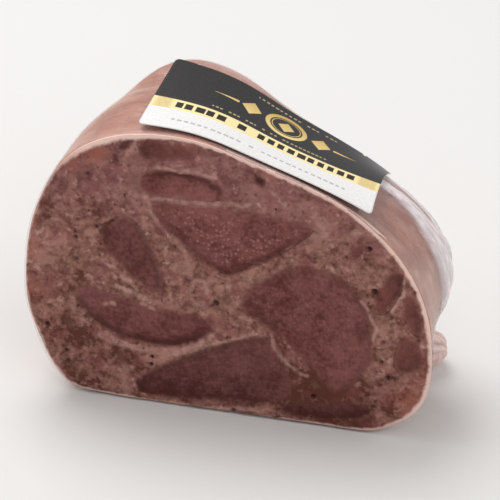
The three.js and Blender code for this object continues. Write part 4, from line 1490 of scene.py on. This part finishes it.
class SAUSAGE_OT_label(Operator):
    """Makes the card label that lies across the top"""

    bl_idname = "sausage.label"
    bl_label = "Label"

    # The card's cells, the radius of its corners in millimetres, and the steps and rows that its
    # lie is worked out with
    COLUMNS = 112
    ROWS = 60
    CORNER = 1.6
    LAY_STEPS = 121
    LAY_ROWS = 13

    def execute(self, context):
        scene = context.scene
        form = scene.sausage_form
        bm = grid(self.COLUMNS, self.ROWS)
        a, b, _ = blank_coordinates(bm)
        across, up = (a + 1) / 2 * LABEL_WIDTH / MM, (b + 1) / 2 * LABEL_DEPTH / MM
        across, up = self.round_corners(across, up)
        coordinates = {vert.index: (u, v) for vert, u, v in zip(bm.verts, across, up)}
        points = self.lay(across * MM / LABEL_WIDTH, up * MM / LABEL_DEPTH, form)
        layer = bm.loops.layers.uv.new("print")
        bm.verts.index_update()
        for face in bm.faces:
            for loop in face.loops:
                loop[layer].uv = coordinates[loop.vert.index]
        set_points(bm, points)
        label = new_piece(bm, "label_card", closed=False)
        wall = thicken(label, form.label_thickness, -1)
        wall.material_offset = 1
        wall.material_offset_rim = 1
        finish_piece(label, "label", label_material(scene.sausage_colours), "label")
        label.data.materials.append(card_material())
        return {"FINISHED"}

    def round_corners(self, across, up):
        """Pulls the vertices beyond each corner's arc in to it."""
        for corner_x in (0, LABEL_WIDTH / MM):
            for corner_y in (0, LABEL_DEPTH / MM):
                centre_x = abs(corner_x - self.CORNER)
                centre_y = abs(corner_y - self.CORNER)
                dx, dy = across - centre_x, up - centre_y
                beyond = (dx * (corner_x - centre_x) > 0) & (dy * (corner_y - centre_y) > 0)
                square = np.maximum(abs(dx), abs(dy))
                scale = np.where(beyond, square / np.maximum(np.hypot(dx, dy), 1e-9), 1)
                across, up = centre_x + dx * scale, centre_y + dy * scale
        return across, up

    def lay(self, across, up, form):
        """Lays the card over the top, as low as the sausage lets it: straight from its near edge
        to its far one at the left, and bent down over the rear at the right. Its ends lift a
        little."""
        share = np.linspace(0, 1, self.LAY_STEPS)
        rows = np.linspace(0, 1, self.LAY_ROWS)
        tops = [self.top_line(row) for row in rows]
        near, far = (self.spread(row, share, tops[place]) for row, place in ((0, 0), (1, -1)))

        def over(far_height, row, top):
            """How far the sausage stands above a straight card, part of the way along it."""
            x = near[:, 0] + (far[:, 0] - near[:, 0]) * row
            return np.interp(x, *top) - near[:, 1] - (far_height - near[:, 1]) * row

        rise = np.max([
            over(near[:, 1], row, top) / row for row, top in zip(rows[3:], tops[3:])], axis=0)
        straight = near[:, 1] + self.smooth_over(share, rise)
        far[:, 1] += (straight - far[:, 1]) * (1 - ease(share, 0.35, 1))
        arch = np.max([
            over(far[:, 1], row, top) / (4 * row * (1 - row))
            for row, top in zip(rows[2:-1], tops[2:-1])], axis=0)
        arch = self.smooth_over(share, np.maximum(arch, 0))
        lines = []
        for row, (left, right) in zip((near, far), LABEL_LIFT):
            slope = np.gradient(row[:, 1]) / np.gradient(row[:, 0])
            normal = unit(np.stack([-slope, np.ones_like(slope)], axis=-1))
            raised = row + normal * (form.label_gap + form.label_thickness)
            side = 2 * share - 1
            raised[:, 1] += np.where(side < 0, left, right) * side ** 4
            lines.append(raised)
        corners = [[np.interp(across, share, column) for column in line.T] for line in lines]
        (near_x, near_z), (far_x, far_z) = corners
        height = near_z + (far_z - near_z) * up + np.interp(across, share, arch) * 4 * up * (1 - up)
        top = CAD_BOX[1][2] - 0.02 * MM
        return np.stack([
            near_x + (far_x - near_x) * up, FACE + LABEL_FROM_FACE + LABEL_DEPTH * up,
            np.minimum(height, top)], axis=-1)

    def smooth_over(self, share, values):
        """An even curve through some values that doesn't go below them."""
        return np.maximum(np.polynomial.Polynomial.fit(share, values, 6)(share), values)

    def top_line(self, row):
        """x and z of the sausage's upper side, this share of the way along the card's depth."""
        share = np.arange(1440) / 1440
        depth = LABEL_FROM_FACE + LABEL_DEPTH * row
        ring = carry(np.full(len(share), place_at(depth)), *RIM.at(share))
        top = ring[ring[:, 2] > 0.48 * FACE_HEIGHT]
        top = top[np.argsort(top[:, 0])]
        return top[:, 0], top[:, 2]

    def spread(self, row, share, top):
        """x and z of points spread evenly over the upper side, from one end of the card's row to
        the other."""
        left, right = (side[0] + (side[1] - side[0]) * row for side in (LABEL_LEFT, LABEL_RIGHT))
        x = np.linspace(left, right, 200)
        z = np.interp(x, *top)
        run = np.concatenate([[0], np.cumsum(np.hypot(np.diff(x), np.diff(z)))])
        x = np.interp(share * run[-1], run, x)
        return np.stack([x, np.interp(x, *top)], axis=-1)


class SAUSAGE_OT_stage(Operator):
    """Makes the floor, the soft light and the camera"""

    bl_idname = "sausage.stage"
    bl_label = "Floor, light and camera"

    FLOOR_HALF = 4
    SKY_STRENGTH = 0.42

    # Each lamp's name, place, side length and power
    LAMPS = [
        ("key", (-0.35, 0.3, 0.95), 0.7, 8.0),
        ("front", (0.5, -0.9, 0.7), 0.9, 4.0),
        ("side", (-0.9, -0.2, 0.5), 0.6, 1.5),
        ("right", (0.9, 0.1, 0.5), 0.6, 2.0),
    ]

    def execute(self, context):
        scene = context.scene
        floor = new_piece(grid(8, 8, self.FLOOR_HALF), "floor", closed=False)
        floor.data.materials.append(floor_material(scene.sausage_colours))
        floor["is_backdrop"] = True
        for name, place, size, power in self.LAMPS:
            lamp = bpy.data.lights.new(name, "AREA")
            lamp.size = size
            lamp.energy = power
            light = bpy.data.objects.new(name, lamp)
            light.location = place
            aim = CAMERA_TARGET - Vector(place)
            light.rotation_euler = aim.to_track_quat("-Z", "Y").to_euler()
            scene.collection.objects.link(light)
        world = bpy.data.worlds.new("Studio")
        world.use_nodes = True
        sky = world.node_tree.nodes["Background"].inputs
        sky["Color"].default_value = (1, 1, 1, 1)
        sky["Strength"].default_value = self.SKY_STRENGTH
        scene.world = world
        scene.view_settings.view_transform = "Standard"
        self.camera(scene)
        return {"FINISHED"}

    def camera(self, scene):
        forward = (CAMERA_TARGET - CAMERA_PLACE).normalized()
        right = forward.cross(Vector((0, 0, 1))).normalized()
        up = right.cross(forward)
        turned_right = right * math.cos(CAMERA_ROLL) + up * math.sin(CAMERA_ROLL)
        turned_up = up * math.cos(CAMERA_ROLL) - right * math.sin(CAMERA_ROLL)
        data = bpy.data.cameras.new("camera")
        data.lens = CAMERA_LENS
        data.clip_end = 20
        camera = bpy.data.objects.new("camera", data)
        turn = Matrix((turned_right, turned_up, -forward)).transposed().to_4x4()
        camera.matrix_world = Matrix.Translation(CAMERA_PLACE) @ turn
        scene.collection.objects.link(camera)
        scene.camera = camera


OPERATORS = (
    SAUSAGE_OT_stage,
    SAUSAGE_OT_ground_meat,
    SAUSAGE_OT_tongue,
    SAUSAGE_OT_lean,
    SAUSAGE_OT_film,
    SAUSAGE_OT_label,
)


class SAUSAGE_PT_panel(Panel):
    """Lists the settings and the steps that make the sausage"""

    bl_idname = "SAUSAGE_PT_panel"
    bl_label = "Sausage"
    bl_space_type = "VIEW_3D"
    bl_region_type = "UI"
    bl_category = "Sausage"

    def draw(self, context):
        for settings in (context.scene.sausage_form, context.scene.sausage_colours):
            column = self.layout.column(align=True)
            for name in settings.bl_rna.properties.keys():
                if name not in {"rna_type", "name"}:
                    column.prop(settings, name)
        for operator in OPERATORS:
            self.layout.operator(operator.bl_idname)


CLASSES = (SAUSAGE_PG_form, SAUSAGE_PG_colours, *OPERATORS, SAUSAGE_PT_panel)


def register():
    for kind in CLASSES:
        bpy.utils.register_class(kind)
    bpy.types.Scene.sausage_form = PointerProperty(type=SAUSAGE_PG_form)
    bpy.types.Scene.sausage_colours = PointerProperty(type=SAUSAGE_PG_colours)


def unregister():
    del bpy.types.Scene.sausage_colours
    del bpy.types.Scene.sausage_form
    for kind in reversed(CLASSES):
        bpy.utils.unregister_class(kind)


def main():
    register()
    bpy.ops.sausage.stage()
    bpy.ops.sausage.ground_meat()
    bpy.ops.sausage.tongue()
    bpy.ops.sausage.lean()
    bpy.ops.sausage.film()
    bpy.ops.sausage.label()
    boxes = {"cad": CAD_BOX, "visual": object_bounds()}
    plain = {name: [list(corner) for corner in box] for name, box in boxes.items()}


if __name__ == "__main__":
    main()
